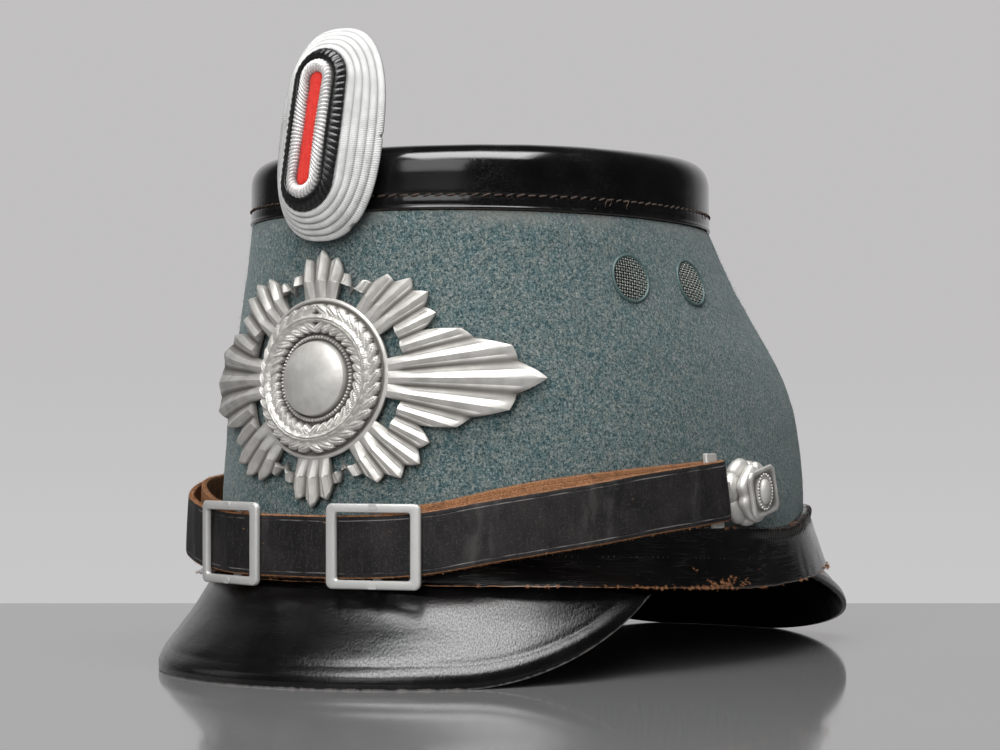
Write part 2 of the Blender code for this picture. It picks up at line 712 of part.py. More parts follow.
def build_front_plate(material):
    columns = STAR_POINTS * RAYS_IN_POINT * 2
    per_point = RAYS_IN_POINT * 2

    def ring(radius_of, out_of):
        points = []
        for step in range(columns):
            turn = 2 * pi * step / columns
            radius = radius_of(step, turn)
            height = PLATE_MID + radius * cos(turn)
            angle = angle_along(radius * sin(turn), height, PLATE_STAND)
            points.append(body_point(height, angle, PLATE_STAND + out_of(step)))
        return points

    def fixed(value):
        return lambda *_: value

    def tip(step, turn):
        return star_radius(turn) * (1 - RAY_NOTCH * (step % 2))

    def part_way(share):
        return lambda step, turn: SLOT_OUTER + (tip(step, turn) - SLOT_OUTER) * share

    def ridged(high, low):
        return lambda step: low if step % 2 else high

    front = [
        ring(fixed(0.0045), fixed(0.0062)),
        ring(fixed(0.0090), fixed(0.0048)),
        ring(fixed(BOSS_RADIUS), fixed(0.0022)),
        ring(fixed(WREATH_INNER), fixed(0.0022)),
        ring(fixed(WREATH_MIDDLE), ridged(0.0052, 0.0036)),
        ring(fixed(WREATH_OUTER), ridged(0.0018, 0.0030)),
        ring(fixed(SLOT_INNER), fixed(PLATE_THICK)),
        ring(fixed(SLOT_OUTER), ridged(0.0030, 0.0018)),
        ring(part_way(0.55), ridged(0.0030, 0.0016)),
        ring(tip, ridged(0.0016, 0.0012)),
    ]
    back = [
        ring(tip, fixed(0.0)),
        ring(part_way(0.5), fixed(0.0)),
        ring(fixed(SLOT_OUTER), fixed(0.0)),
        ring(fixed(SLOT_INNER), fixed(0.0)),
        ring(fixed(WREATH_INNER), fixed(GAP - PLATE_STAND)),
        ring(fixed(0.0045), fixed(GAP - PLATE_STAND)),
    ]
    slot_front, slot_back = 6, 2
    notch = per_point // 2
    solid = bmesh.new()
    rows = [[solid.verts.new(point) for point in points] for points in front + back]
    solid.faces.new(rows[0])
    solid.faces.new(rows[-1])
    for level in range(len(rows) - 1):
        is_slot = level in (slot_front, len(front) + slot_back)
        for i in range(columns):
            j = (i + 1) % columns
            if is_slot and i % per_point in range(notch - 2, notch + 2):
                continue
            solid.faces.new((rows[level][i], rows[level][j], rows[level + 1][j], rows[level + 1][i]))
    inner_front, outer_front = rows[slot_front], rows[slot_front + 1]
    outer_back, inner_back = rows[len(front) + slot_back], rows[len(front) + slot_back + 1]
    for first in range(notch - 2, columns, per_point):
        for i in range(first, first + 4):
            j = (i + 1) % columns
            solid.faces.new((inner_front[i], inner_front[j], inner_back[j], inner_back[i]))
            solid.faces.new((outer_front[i], outer_front[j], outer_back[j], outer_back[i]))
        for i in (first, (first + 4) % columns):
            solid.faces.new((inner_front[i], outer_front[i], outer_back[i], inner_back[i]))
    return add_object("front_plate", solid, material, sharp=radians(25))


def main():
    clear_scene()
    felt = finish_material("felt", (0.115, 0.165, 0.160), 0.95, 0.0)
    leather = finish_material("black_leather", (0.012, 0.012, 0.013), 0.35, 0.0)
    strap_leather = finish_material("strap_leather", (0.030, 0.028, 0.030), 0.5, 0.0)
    silver = finish_material("cast_silver", (0.72, 0.72, 0.72), 0.35, 1.0)
    grey_metal = finish_material("grey_metal", (0.62, 0.63, 0.62), 0.45, 1.0)
    black_cord = finish_material("black_cord", (0.02, 0.02, 0.02), 0.5, 0.0)
    white_cord = finish_material("white_cord", (0.80, 0.80, 0.78), 0.5, 0.0)
    red_felt = finish_material("red_felt", (0.60, 0.03, 0.03), 0.8, 0.0)
    vent_paint = finish_material("vent_paint", (0.16, 0.21, 0.20), 0.5, 0.2)
    vent_wire = finish_material("vent_wire", (0.22, 0.24, 0.22), 0.5, 0.6)

    build_crown_wall(felt)
    build_crown_top(leather)
    build_base_band(leather)
    for visor in VISORS:
        build_visor(visor, leather)
    build_front_plate(silver)
    build_cockade(silver, black_cord, white_cord, red_felt, grey_metal)
    build_vents(vent_paint, vent_wire)
    for side_name, side, outer_end, tuck in (("left", 1, -21.3, 0.0), ("right", -1, 17.0, 1.0)):
        build_strap(side_name, side, outer_end, STRAP_INNER_END, tuck, strap_leather)
        build_hanger(side_name, side, silver)
        build_buckle(side_name, side, grey_metal)
        build_rosette(side_name, side, silver)


main()
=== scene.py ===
"""Looks of a shako hat: felt body, leather crown top and base band, two visors, strap and fittings.

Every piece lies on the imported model, in its frame: metres, +X the wearer's left, -Y the front and
+Z up. An angle round the hat is 0 at the front and 90 degrees at the wearer's left. The point
attribute "place" holds a piece's own surface measures in millimetres: along, across and depth.
"""

from collections import namedtuple
from math import atan2, cos, hypot, pi, radians, sin

import bmesh
import bpy
import numpy as np
from mathutils import Matrix


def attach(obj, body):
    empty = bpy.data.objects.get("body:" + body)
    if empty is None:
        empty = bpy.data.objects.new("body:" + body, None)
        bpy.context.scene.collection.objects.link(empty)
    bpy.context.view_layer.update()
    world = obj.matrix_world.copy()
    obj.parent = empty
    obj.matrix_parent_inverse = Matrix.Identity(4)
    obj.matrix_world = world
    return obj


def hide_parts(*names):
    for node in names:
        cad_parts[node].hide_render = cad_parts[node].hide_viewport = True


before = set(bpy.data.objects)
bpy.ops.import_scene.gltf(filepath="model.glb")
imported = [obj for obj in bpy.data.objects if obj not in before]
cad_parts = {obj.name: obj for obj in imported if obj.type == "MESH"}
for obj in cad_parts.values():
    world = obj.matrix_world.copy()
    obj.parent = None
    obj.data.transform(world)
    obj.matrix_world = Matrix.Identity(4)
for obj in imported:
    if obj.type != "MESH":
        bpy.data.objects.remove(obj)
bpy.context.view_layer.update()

MM = 0.001
GAP = 0.0003

# Felt body
Section = namedtuple("Section", "height half_width front_y back_y widest_y")
BODY_SECTIONS = (
    Section(0.0480, 0.0840, -0.1005, 0.1025, 0.0050),
    Section(0.0620, 0.0834, -0.0995, 0.1011, 0.0047),
    Section(0.0760, 0.0820, -0.0985, 0.0979, 0.0033),
    Section(0.0900, 0.0790, -0.0975, 0.0908, -0.0005),
    Section(0.1040, 0.0743, -0.0965, 0.0797, -0.0065),
    Section(0.1180, 0.0697, -0.0955, 0.0691, -0.0123),
    Section(0.1327, 0.0656, -0.0945, 0.0594, -0.0176),
)
OVAL_POWER = 2.15
BODY_FOOT = 0.0270
BODY_WALL = 0.0030
NECK_WALL = 0.0021
NECK_TOP = 0.1450
FELT_TOP = 0.1327
FELT_COLUMNS, FELT_ROWS, FELT_INNER_ROWS = 460, 98, 14
NAP_FIBRES = 15000

# Crown top
CROWN_LOW = FELT_TOP + GAP
CROWN_HIGH = 0.1545
CROWN_SLOPE = 0.028
CROWN_PROUD = 0.0004
CROWN_THICK = 0.0019
CROWN_CORNER = 0.0095
CORNER_POWER = 2.5  # of the rounded edge: 2 is a quarter circle, more is squarer
SEAM_HEIGHT = 0.0046  # of the stitched seam, above the lower edge
STITCH_PITCH = 0.0034
STITCH_RADIUS = 0.00031
STITCH_SPAN = (0.60, 1.40)  # where a stitch starts and stops, in pitches
LOOSE_THREADS = ((70.4, 0.0024), (71.6, 0.0020), (76.9, 0.0026), (112.0, 0.0016), (248.0, 0.0022))
CAP_COLUMNS = 520

# Base band
BandRow = namedtuple("BandRow", "angle top low lip flare")
BAND_AROUND = (
    BandRow(0.0, 0.0445, 0.0275, 0.0070, 4.5),
    BandRow(25.0, 0.0442, 0.0272, 0.0072, 4.5),
    BandRow(50.0, 0.0436, 0.0266, 0.0080, 4.5),
    BandRow(70.0, 0.0430, 0.0248, 0.0045, 3.8),
    BandRow(90.0, 0.0412, 0.0232, 0.0032, 3.0),
    BandRow(101.0, 0.0410, 0.0240, 0.0048, 1.8),
    BandRow(112.0, 0.0440, 0.0249, 0.0063, 1.4),
    BandRow(124.0, 0.0462, 0.0264, 0.0082, 1.2),
    BandRow(155.0, 0.0464, 0.0278, 0.0090, 1.2),
    BandRow(180.0, 0.0462, 0.0280, 0.0092, 1.2),
)
BAND_THICK = 0.0016
BAND_TOP_PROUD = BAND_THICK + GAP
BAND_SPANS = ((0, 84, 170), (84, 150, 500), (150, 210, 120), (210, 276, 500), (276, 360, 170))
FOLD_PITCH = 0.0016

# Visors: a slope's pairs are the shares of its run outwards and of its fall
SlopeRow = namedtuple("SlopeRow", "walked out down")


def visor_slope(*pairs):
    lengths = [hypot(*pair) for pair in pairs]
    return [SlopeRow(length / lengths[-1], *pair) for length, pair in zip(lengths, pairs)]


FRONT_SLOPE = visor_slope(
    (0.0, 0.0), (0.21, 0.20), (0.42, 0.40), (0.65, 0.58), (0.87, 0.76), (0.98, 0.89), (1.0, 0.94)
)
REAR_SLOPE = visor_slope(
    (0.0, 0.0), (0.30, 0.10), (0.50, 0.27), (0.70, 0.49), (0.87, 0.72), (0.98, 0.89), (1.0, 0.94)
)
Visor = namedtuple(
    "Visor",
    "name facing widest_y half_width reach power end_angle flat_angle end_lift lift_power"
    " top_drop slope",
)
VISORS = (
    Visor(
        "front_visor", -1, -0.046, 0.078, 0.086, 2.0, 62.8, 45.0, 0.0235, 1.8, 0.0062, FRONT_SLOPE
    ),
    Visor("rear_visor", 1, 0.054, 0.078, 0.078, 2.3, 62.5, 14.0, 0.0240, 1.5, 0.0038, REAR_SLOPE),
)
VISOR_THICK = 0.0019
VISOR_TOP = 0.0293
VISOR_COLUMNS = 300
VISOR_ROLL = 0.95  # share of the slope where its lower edge starts to roll under
PLACE_RADIUS = 80  # mm, turns a visor's angle into a distance along it

# Chin strap
StrapRow = namedtuple("StrapRow", "angle left right")
STRAP_ROWS = (
    StrapRow(0.0, 0.0378, 0.0378),
    StrapRow(10.0, 0.0379, 0.0379),
    StrapRow(22.8, 0.0392, 0.0387),
    StrapRow(35.2, 0.0429, 0.0411),
    StrapRow(51.7, 0.0472, 0.0446),
    StrapRow(62.4, 0.0500, 0.0468),
    StrapRow(77.2, 0.0528, 0.0505),
)
STRAP_CREASES = (  # middle angle, width in degrees and strength
    (31.0, 1.2, 0.8), (34.0, 0.6, 0.5), (50.0, 1.6, 0.7), (53.5, 0.8, 0.6), (70.0, 1.1, 0.6),
    (21.0, 0.7, 0.4), (-6.0, 0.8, 0.4),
)
STRAP_WIDE = 0.0176
STRAP_TILT = 0.0014
STRAP_THICK = 0.0016
STRAP_FRONT_PROUD = 0.0110
STRAP_SIDE_PROUD = 0.0076
LAYER_SPACE = 0.0022
INNER_LIFT = 0.0018
SIDE_LIFT = 0.0013  # more of the inner layer's lift, halfway to the side bar
STRAP_BAR_ANGLE = radians(77.2)
STRAP_INNER_END = radians(13.0)
TUCK_START = radians(25.0)
TUCK_RUN = radians(4.0)
BUCKLE_ANGLE = radians(14.4)
BUCKLE_WIDE = 0.0307
BUCKLE_HALF_HIGH = 0.0119
BUCKLE_SIDE_BAR = 0.0031
BUCKLE_THICK = 0.0019
BUCKLE_PIN_WIDE = 0.0032
BUCKLE_PROFILE = (  # round the frame's bar: shares of its width and thickness
    (0.0, 0.25), (0.0, 0.75), (0.08, 0.94), (0.22, 1.0), (0.5, 1.03), (0.78, 1.0), (0.92, 0.94),
    (1.0, 0.75), (1.0, 0.25), (0.9, 0.05), (0.75, 0.0), (0.25, 0.0), (0.1, 0.05),
)
PIN_SECTION = (  # round the pin: shares of its half width and half thickness
    (-1.0, -0.6), (-0.8, -1.0), (0.8, -1.0), (1.0, -0.6),
    (1.0, 0.6), (0.8, 1.0), (-0.8, 1.0), (-1.0, 0.6),
)
PIN_HALF_THICK = 0.00075
BAR_WIDE = 0.0050
BAR_THICK = LAYER_SPACE - 2 * GAP
BAR_OVERHANG = 0.0022
TONGUE_HIGH = 0.0054
TONGUE_SHORT = 0.0011  # how far its tongue ends from the rosette

# Rosettes and vents
ROSETTE_HEIGHT = 0.0520
ROSETTE_Y = -0.0055
ROSETTE_RADIUS = 0.0100
VENT_HEIGHT = 0.1145
VENT_PLACES = (("front", -0.0401), ("back", -0.0115))
VENT_BARREL = 0.0066
EYELET_PROFILE = (  # radius and distance out, round the rolled rim
    (VENT_BARREL, 0.0001), (0.0071, 0.0001), (0.00738, 0.0001), (0.00748, 0.0003),
    (0.00742, 0.0005), (0.00724, 0.0007), (0.00698, 0.0008), (0.00672, 0.0007), (0.00652, 0.0005),
    (0.00644, 0.0002), (0.00640, -0.0036), (VENT_BARREL, -0.0036),
)
GAUZE_TURN = -0.15
GAUZE_REACH = 0.00652
GAUZE_PITCH = 0.00092
GAUZE_WAVE = 0.00020
WIRE_RADIUS = 0.00014

# Rosette layers, from the felt outwards: radius, distance out, and how much painted shade it gets
ROSETTE_LOBES = (
    (0.0090, 0.0004, 1.0), (0.0100, 0.0010, 0.6), (0.0104, 0.0020, 0.2), (0.0103, 0.0029, 0.0),
    (0.0098, 0.0037, 0.0), (0.0089, 0.0043, 0.0), (0.0075, 0.0046, 0.3), (0.0060, 0.0047, 1.0),
)
ROSETTE_LEAVES = (
    (0.0062, 0.0036, 1.0), (0.0080, 0.0044, 0.8), (0.0088, 0.0053, 0.2), (0.0091, 0.0062, 0.0),
    (0.0089, 0.0070, 0.0), (0.0082, 0.0076, 0.0), (0.0070, 0.0079, 0.3), (0.0050, 0.0080, 1.0),
)
ROSETTE_SQUARE = (
    (0.0052, 0.0074, 1.0), (0.0070, 0.0080, 0.8), (0.0080, 0.0086, 0.1), (0.0083, 0.0092, 0.0),
    (0.0080, 0.0098, 0.0), (0.0073, 0.0100, 0.0), (0.0067, 0.0097, 0.6), (0.0060, 0.0094, 1.0),
    (0.0054, 0.0096, 0.5), (0.0050, 0.0099, 0.0), (0.0046, 0.0097, 0.5), (0.0041, 0.0094, 1.0),
)
ROSETTE_DOME = (
    (0.0040, 0.0090, 1.0), (0.0036, 0.0098, 0.6), (0.0030, 0.0105, 0.0), (0.0021, 0.0110, 0.0),
    (0.0011, 0.0113, 0.0), (0.0004, 0.0114, 0.0),
)
BEADS = 26
BEAD_RADIUS = 0.00042
BEAD_OVAL = 0.00465

# Cockade
COCKADE_X = 0.0016
COCKADE_MID = 0.1552
COCKADE_LEAN = radians(7.0)
COCKADE_ROLL = radians(1.5)
COCKADE_BACK_Y = -0.0945 - CROWN_PROUD - 0.0009
COCKADE_POWER = 2.5
COCKADE_DROOP = 0.05
COCKADE_TILT = 5.5  # share that its face lies nearer its back for each metre up, and further down
OvalRow = namedtuple("OvalRow", "half_width half_height out")
SHELL_OUTSIDE = (
    OvalRow(0.0098, 0.0238, 0.0086), OvalRow(0.0130, 0.0264, 0.0063),
    OvalRow(0.0163, 0.0291, 0.0033), OvalRow(0.0187, 0.0312, 0.0004),
)
SHELL_INSIDE = (
    OvalRow(0.0180, 0.0305, 0.0000), OvalRow(0.0162, 0.0288, 0.0016),
    OvalRow(0.0104, 0.0234, 0.0054),
)
SHELL_COLUMNS = 1180
SHELL_RINGS = 36
SHELL_RIDGES = 5
RIB_PITCH = 0.00060
CORE_ROWS = (
    OvalRow(0.0022, 0.0167, 0.0090), OvalRow(0.0022, 0.0167, 0.0100),
    OvalRow(0.0021, 0.0166, 0.0106), OvalRow(0.0018, 0.0163, 0.0109),
    OvalRow(0.0014, 0.0159, 0.0111), OvalRow(0.0009, 0.0154, 0.0112),
    OvalRow(0.0003, 0.0148, 0.01125),
)
CORE_FIBRES = 900
CORD_SIDES = 16

# Front plate
PLATE_MID = 0.0852
PLATE_STAND = 0.0020
PLATE_THICK = 0.0014
STAR_REACH_WIDE = 0.0680
STAR_REACH_HIGH = 0.0368
STAR_POWER = 1.35
STAR_POINTS = 8
RAYS_IN_POINT = 5
STAR_NOTCH = 0.24
RAY_NOTCH = 0.05
BOSS_RADIUS = 0.0112
WREATH_INNER = 0.0126
WREATH_OUTER = 0.0218
SLOT_INNER = 0.0232
SLOT_OUTER = 0.0280
PLATE_COLUMNS = 640
LEAF_STATIONS = 17
LEAF_CIRCLE = 0.0172  # radius of the wreath's stem
LEAF_LENGTH, LEAF_WIDTH = 0.0031, 0.00125
LEAVES = (  # of a station: offset from the stem, slant and height
    (0.0022, 0.62, 0.0024), (-0.0021, -0.62, 0.0024), (0.0, 0.0, 0.0030),
)

# Camera and light
CAMERA_PLACE = (0.4369, -0.6438, 0.0690)
CAMERA_HEADING = radians(34.16)
CAMERA_LENS, CAMERA_SENSOR = 87.58, 36.0
CAMERA_SHIFT = (-0.01579, 0.06038)
BACKDROP = (0.535, 0.525, 0.53)
BACKDROP_LOW = (0.585, 0.58, 0.585)
ROOM_SHADE = (0.030, 0.030, 0.032)
TABLE_SIZE = 6.0
TABLE_BEHIND = 0.222  # how far the table reaches beyond the hat's middle, away from the camera
Light = namedtuple("Light", "name place aim width height power diffuse glossy")
LIGHTS = (
    Light("top_softbox", (0.25, -0.31, 0.93), (0.02, -0.06, 0.06), 0.80, 0.44, 7.0, True, True),
    Light("top_gloss", (0.27, -0.30, 0.93), (0.02, -0.06, 0.06), 0.90, 0.66, 11.0, False, True),
    Light("key_softbox", (0.52, -1.28, 0.78), (0, -0.02, 0.08), 0.9, 0.9, 6.5, True, True),
    Light("front_fill", (0.50, -1.38, 0.46), (0, -0.02, 0.10), 0.9, 0.9, 13.5, True, False),
    Light("left_fill", (-1.20, -0.75, 0.60), (0, -0.02, 0.08), 0.7, 0.9, 1.2, True, True),
)


# ---------------------------------------------------------------- surfaces


def smooth_rows(rows, column, at):
    """Reads a column of a table on a smooth curve through its rows. The first column is the key."""
    keys = np.array([row[0] for row in rows])
    values = np.array([getattr(row, column) for row in rows])
    slopes = np.zeros_like(values)
    slopes[1:-1] = (values[2:] - values[:-2]) / (keys[2:] - keys[:-2])
    slopes[-1] = (values[-1] - values[-2]) / (keys[-1] - keys[-2])
    at = np.clip(at, keys[0], keys[-1])
    i = np.clip(np.searchsorted(keys, at, side="right") - 1, 0, len(keys) - 2)
    span = keys[i + 1] - keys[i]
    t = (at - keys[i]) / span
    return (
        (2 * t**3 - 3 * t**2 + 1) * values[i]
        + (t**3 - 2 * t**2 + t) * span * slopes[i]
        + (3 * t**2 - 2 * t**3) * values[i + 1]
        + (t**3 - t**2) * span * slopes[i + 1]
    )


def oval(angle, power):
    c, s = np.cos(angle), np.sin(angle)
    return np.sign(c) * np.abs(c) ** (2 / power), np.sign(s) * np.abs(s) ** (2 / power)


def body_at(height, angle, grow=0.0):
    """Points on the felt's outer face, or grow outside it."""
    height, angle, grow = np.broadcast_arrays(height, angle, grow)
    half, front, back, widest = (
        smooth_rows(BODY_SECTIONS, name, height) for name in Section._fields[1:]
    )
    along, across = oval(angle, OVAL_POWER)
    reach = np.where(along > 0, widest - front, back - widest) + grow
    return np.stack([(half + grow) * across, widest - reach * along, height + 0.0 * across], -1)


def crown_at(height, angle, grow):
    """Points under or on the crown top, whose upper parts fall a little towards the front."""
    points = body_at(height, angle, grow)
    share = (height - CROWN_LOW) / (CROWN_HIGH - CROWN_LOW)
    points[..., 2] += CROWN_SLOPE * points[..., 1] * share
    return points


def turns(count):
    """Angles of a closed ring of points."""
    return np.arange(count) * (2 * pi / count)


def unit(vectors):
    return vectors / np.maximum(np.linalg.norm(vectors, axis=-1, keepdims=True), 1e-12)


def arc_lengths(points):
    """Distance along a line of points, from its first point."""
    steps = np.linalg.norm(np.diff(points, axis=0), axis=1)
    return np.concatenate([[0.0], np.cumsum(steps)])


def angle_at_y(height, y):
    """The angle on the wearer's left where the body's section passes y."""
    low, high = 0.0, pi
    for _ in range(40):
        middle = (low + high) / 2
        if body_at(height, middle)[1] < y:
            low = middle
        else:
            high = middle
    return low


def angle_along(distance, height, grow, steps=100):
    """Angles reached by going distances round the front, from the middle, at some heights."""
    distance, height = np.broadcast_arrays(distance, height)
    fan = np.linspace(0, radians(100), steps + 1)
    around = body_at(height[..., None], fan, grow)
    walked = np.cumsum(np.linalg.norm(np.diff(around, axis=-2), axis=-1), -1)
    walked = np.concatenate([np.zeros_like(walked[..., :1]), walked], -1)
    flat_walk = walked.reshape(-1, steps + 1)
    reach = np.abs(distance).ravel()
    angles = np.array([np.interp(r, row, fan) for r, row in zip(reach, flat_walk)])
    return np.sign(distance) * angles.reshape(distance.shape)


def mirrored(points, side):
    """The points, or their mirror image where side is -1, the wearer's right."""
    return points * np.array([side, 1, 1])


def placing(origin, level, upward, outward, side=1):
    """A placing function: it takes distances along, up and outwards from an origin."""

    def place(x, y, out):
        x, y, out = (
            np.asarray(value, float)[..., None] for value in np.broadcast_arrays(x, y, out)
        )
        return mirrored(origin + x * level + y * upward + out * outward, side)

    return place


def facing_place(height, angle, side=1):
    """A placing function on the felt: its third value is the distance off the felt."""
    step = 0.002
    level = unit(body_at(height, angle + step) - body_at(height, angle - step))
    upward = body_at(height + step, angle) - body_at(height - step, angle)
    outward = unit(np.cross(level, upward))
    if np.dot(outward, body_at(height, angle, 0.01) - body_at(height, angle)) < 0:
        outward = -outward
    return placing(body_at(height, angle), level, unit(np.cross(outward, level)), outward, side)


def soft_noise(points, size, seed):
    """Smooth noise between -1 and 1, with lumps of the given size."""
    cells = 32
    lattice = np.random.default_rng(seed).uniform(-1, 1, (cells, cells, cells))
    scaled = np.asarray(points) / size
    base = np.floor(scaled).astype(int)
    t = scaled - base
    t = t * t * (3 - 2 * t)
    value = np.zeros(scaled.shape[:-1])
    for corner in np.ndindex(2, 2, 2):
        weight = np.prod([t[..., k] if corner[k] else 1 - t[..., k] for k in range(3)], axis=0)
        index = tuple((base[..., k] + corner[k]) % cells for k in range(3))
        value += weight * lattice[index]
    return value


def grid_normals(points, close_columns=True):
    """Unit normals of a grid of points, which may close round its columns."""
    if close_columns:
        across = np.roll(points, -1, 1) - np.roll(points, 1, 1)
    else:
        across = np.gradient(points, axis=1)
    return unit(np.cross(across, np.gradient(points, axis=0)))


def outwards(normals, points, centre=(0.0, 0.0, 0.08)):
    """The same normals, turned away from a centre."""
    away = np.sum(normals * (points - np.array(centre)), axis=-1, keepdims=True)
    return np.where(away < 0, -normals, normals)


def unevenness(points, *layers):
    """The sum of layers of soft noise: each has a height, the size of its lumps and a seed."""
    return sum(height * soft_noise(points, size, seed) for height, size, seed in layers)


def backed(front, shape, behind=0.0):
    """A value for each point of a grid: those of its front rows, and one for the rows behind."""
    values = np.full(shape[:2], behind)
    values[: len(front)] = front
    return values


def surface_place(along, across):
    """The "place" of a grid of points, from their distances along and across it."""
    along, across = np.broadcast_arrays(along, across)
    return np.stack([along, across, 0 * across], -1)


def bump(value, middle, width):
    return np.exp(-(((value - middle) / width) ** 2))


def soft_step(value, low, high):
    t = np.clip((value - low) / (high - low), 0, 1)
    return t * t * (3 - 2 * t)


# ---------------------------------------------------------------- pieces


class Piece:
    """Collects the points, faces and point attributes of one piece, then makes its object."""

    def __init__(self, name):
        self.name = name
        self.points, self.faces, self.masks = [], [], []
        self.count = 0

    def add(self, points, faces, **masks):
        points = np.asarray(points, float).reshape(-1, 3)
        self.points.append(points)
        self.faces += (np.asarray(faces) + self.count).tolist() if len(faces) else []
        self.masks.append((len(points), masks))
        self.count += len(points)

    def grid(self, points, close_rows=False, close_columns=False, cap=False, **masks):
        """A grid of quads. cap closes the first and the last row with a face each."""
        rows, columns = points.shape[:2]
        r, c = np.meshgrid(
            np.arange(rows if close_rows else rows - 1),
            np.arange(columns if close_columns else columns - 1),
            indexing="ij",
        )
        r_next, c_next = (r + 1) % rows, (c + 1) % columns
        near, far = r * columns, r_next * columns
        quads = np.stack([near + c, near + c_next, far + c_next, far + c], -1).reshape(-1, 4)
        start = self.count
        self.add(points, quads, **{k: np.asarray(v) for k, v in masks.items()})
        if cap:
            self.faces.append(list(range(start, start + columns))[::-1])
            last = start + (rows - 1) * columns
            self.faces.append(list(range(last, last + columns)))

    def tube(self, path, radius, sides=6, flat=1.0, up=(0.0, 0.0, 1.0), **masks):
        """A closed tube along a path. radius may change along it; flat squeezes it sideways."""
        path = np.asarray(path, float)
        tangent = unit(np.gradient(path, axis=0))
        sideways = unit(np.cross(tangent, np.broadcast_to(np.asarray(up, float), path.shape)))
        over = np.cross(sideways, tangent)
        turn = turns(sides)
        reach = np.broadcast_to(radius, len(path))[:, None, None]
        ring = path[:, None] + reach * (
            flat * np.cos(turn)[None, :, None] * sideways[:, None]
            + np.sin(turn)[None, :, None] * over[:, None]
        )
        shaped = {k: np.repeat(np.broadcast_to(v, len(path)), sides) for k, v in masks.items()}
        self.grid(ring, close_columns=True, cap=True, **shaped)

    def fibres(self, roots, along, outward, length, width, rise, bend, **masks):
        """Fine tapered ribbons, each with a root, a direction and a rise off the surface."""
        along, outward = unit(along), unit(outward)
        side = unit(np.cross(along, outward))
        stations = np.array([0.0, 0.35, 0.7, 1.0])[None, :, None]
        spine = (
            roots[:, None]
            + along[:, None] * length[:, None, None] * stations
            + outward[:, None] * rise[:, None, None] * np.sin(stations * pi * 0.62)
            + side[:, None] * bend[:, None, None] * stations**2
        )
        half = side[:, None] * (width[:, None, None] / 2) * (1 - 0.6 * stations)
        ribbon = np.stack([spine - half, spine + half], 2)[:, :3]
        points = np.concatenate([ribbon.reshape(len(roots), 6, 3), spine[:, 3:]], 1)
        base = np.arange(len(roots))[:, None] * 7
        for quad in ((0, 1, 3, 2), (2, 3, 5, 4)):
            self.faces += (base + np.array(quad) + self.count).tolist()
        self.faces += (base + np.array((4, 5, 6)) + self.count).tolist()
        self.points.append(points.reshape(-1, 3))
        self.masks.append((len(roots) * 7, {k: np.repeat(v, 7) for k, v in masks.items()}))
        self.count += len(roots) * 7

    def mesh(self):
        mesh = bpy.data.meshes.new(self.name)
        mesh.from_pydata(np.concatenate(self.points).tolist(), [], self.faces)
        return mesh

    def finish(self, material, nodes=(), sharp=None, open_sheet=False):
        mesh = self.mesh()
        labels = {
            label: np.ndim(value) for _, masks in self.masks for label, value in masks.items()
        }
        for label in labels:
            parts = []
            for size, masks in self.masks:
                value = np.asarray(masks.get(label, 0.0), float)
                if label == "place":
                    parts.append(value.reshape(-1, 3) if value.ndim else np.zeros((size, 3)))
                else:
                    parts.append(np.broadcast_to(value.ravel() if value.ndim else value, size))
            joined = np.ascontiguousarray(np.concatenate(parts), dtype=np.float32)
            is_vector = label == "place"
            made = mesh.attributes.new(label, "FLOAT_VECTOR" if is_vector else "FLOAT", "POINT")
            made.data.foreach_set("vector" if is_vector else "value", joined.ravel())
        if not open_sheet:
            turn_outwards(mesh)
        mesh.shade_smooth()
        if sharp:
            mesh.set_sharp_from_angle(angle=sharp)
        return dress(mesh, self.name, material, nodes)


def add_object(name, data):
    thing = bpy.data.objects.new(name, data)
    bpy.context.scene.collection.objects.link(thing)
    return thing


def turn_outwards(mesh):
    shape = bmesh.new()
    shape.from_mesh(mesh)
    bmesh.ops.recalc_face_normals(shape, faces=shape.faces)
    shape.to_mesh(mesh)
    shape.free()


def dress(mesh, name, material, nodes):
    """Makes the object of a mesh, rides it on the hat and hides the model's parts that it replaces.
    """
    mesh.materials.clear()
    mesh.materials.append(material)
    thing = add_object(name, mesh)
    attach(thing, "root")
    if nodes:
        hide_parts(*nodes)
    return thing


def settle(thing):
    """Applies an object's modifiers."""
    graph = bpy.context.evaluated_depsgraph_get()
    mesh = bpy.data.meshes.new_from_object(thing.evaluated_get(graph))
    thing.modifiers.clear()
    thing.data = mesh


def cell_mesh(name, edges, filled, place, round_by):
    """A mesh of grid cells with rounded corners and edges."""
    solid = bmesh.new()
    corners = {}

    def corner(index):
        if index not in corners:
            corners[index] = solid.verts.new(place(*(edges[k][index[k]] for k in range(3))))
        return corners[index]

    for cell in sorted(filled):
        for axis in range(3):
            for side in (0, 1):
                beyond = list(cell)
                beyond[axis] += 2 * side - 1
                if tuple(beyond) in filled:
                    continue
                low = list(cell)
                low[axis] += side
                a, b = [k for k in range(3) if k != axis]
                loop = []
                for da, db in ((0, 0), (1, 0), (1, 1), (0, 1)):
                    index = list(low)
                    index[a] += da
                    index[b] += db
                    loop.append(corner(tuple(index)))
                solid.faces.new(loop)
    bmesh.ops.recalc_face_normals(solid, faces=solid.faces)
    sharp = [edge for edge in solid.edges if edge.calc_face_angle(0) > radians(30)]
    bmesh.ops.bevel(
        solid, geom=sharp, offset=round_by, offset_type="OFFSET", segments=3, profile=0.6,
        affect="EDGES", clamp_overlap=True,
    )
    mesh = bpy.data.meshes.new(name)
    solid.to_mesh(mesh)
    solid.free()
    mesh.shade_smooth()
    return mesh


# ---------------------------------------------------------------- material nodes


def is_socket(value):
    return isinstance(value, bpy.types.NodeSocket)


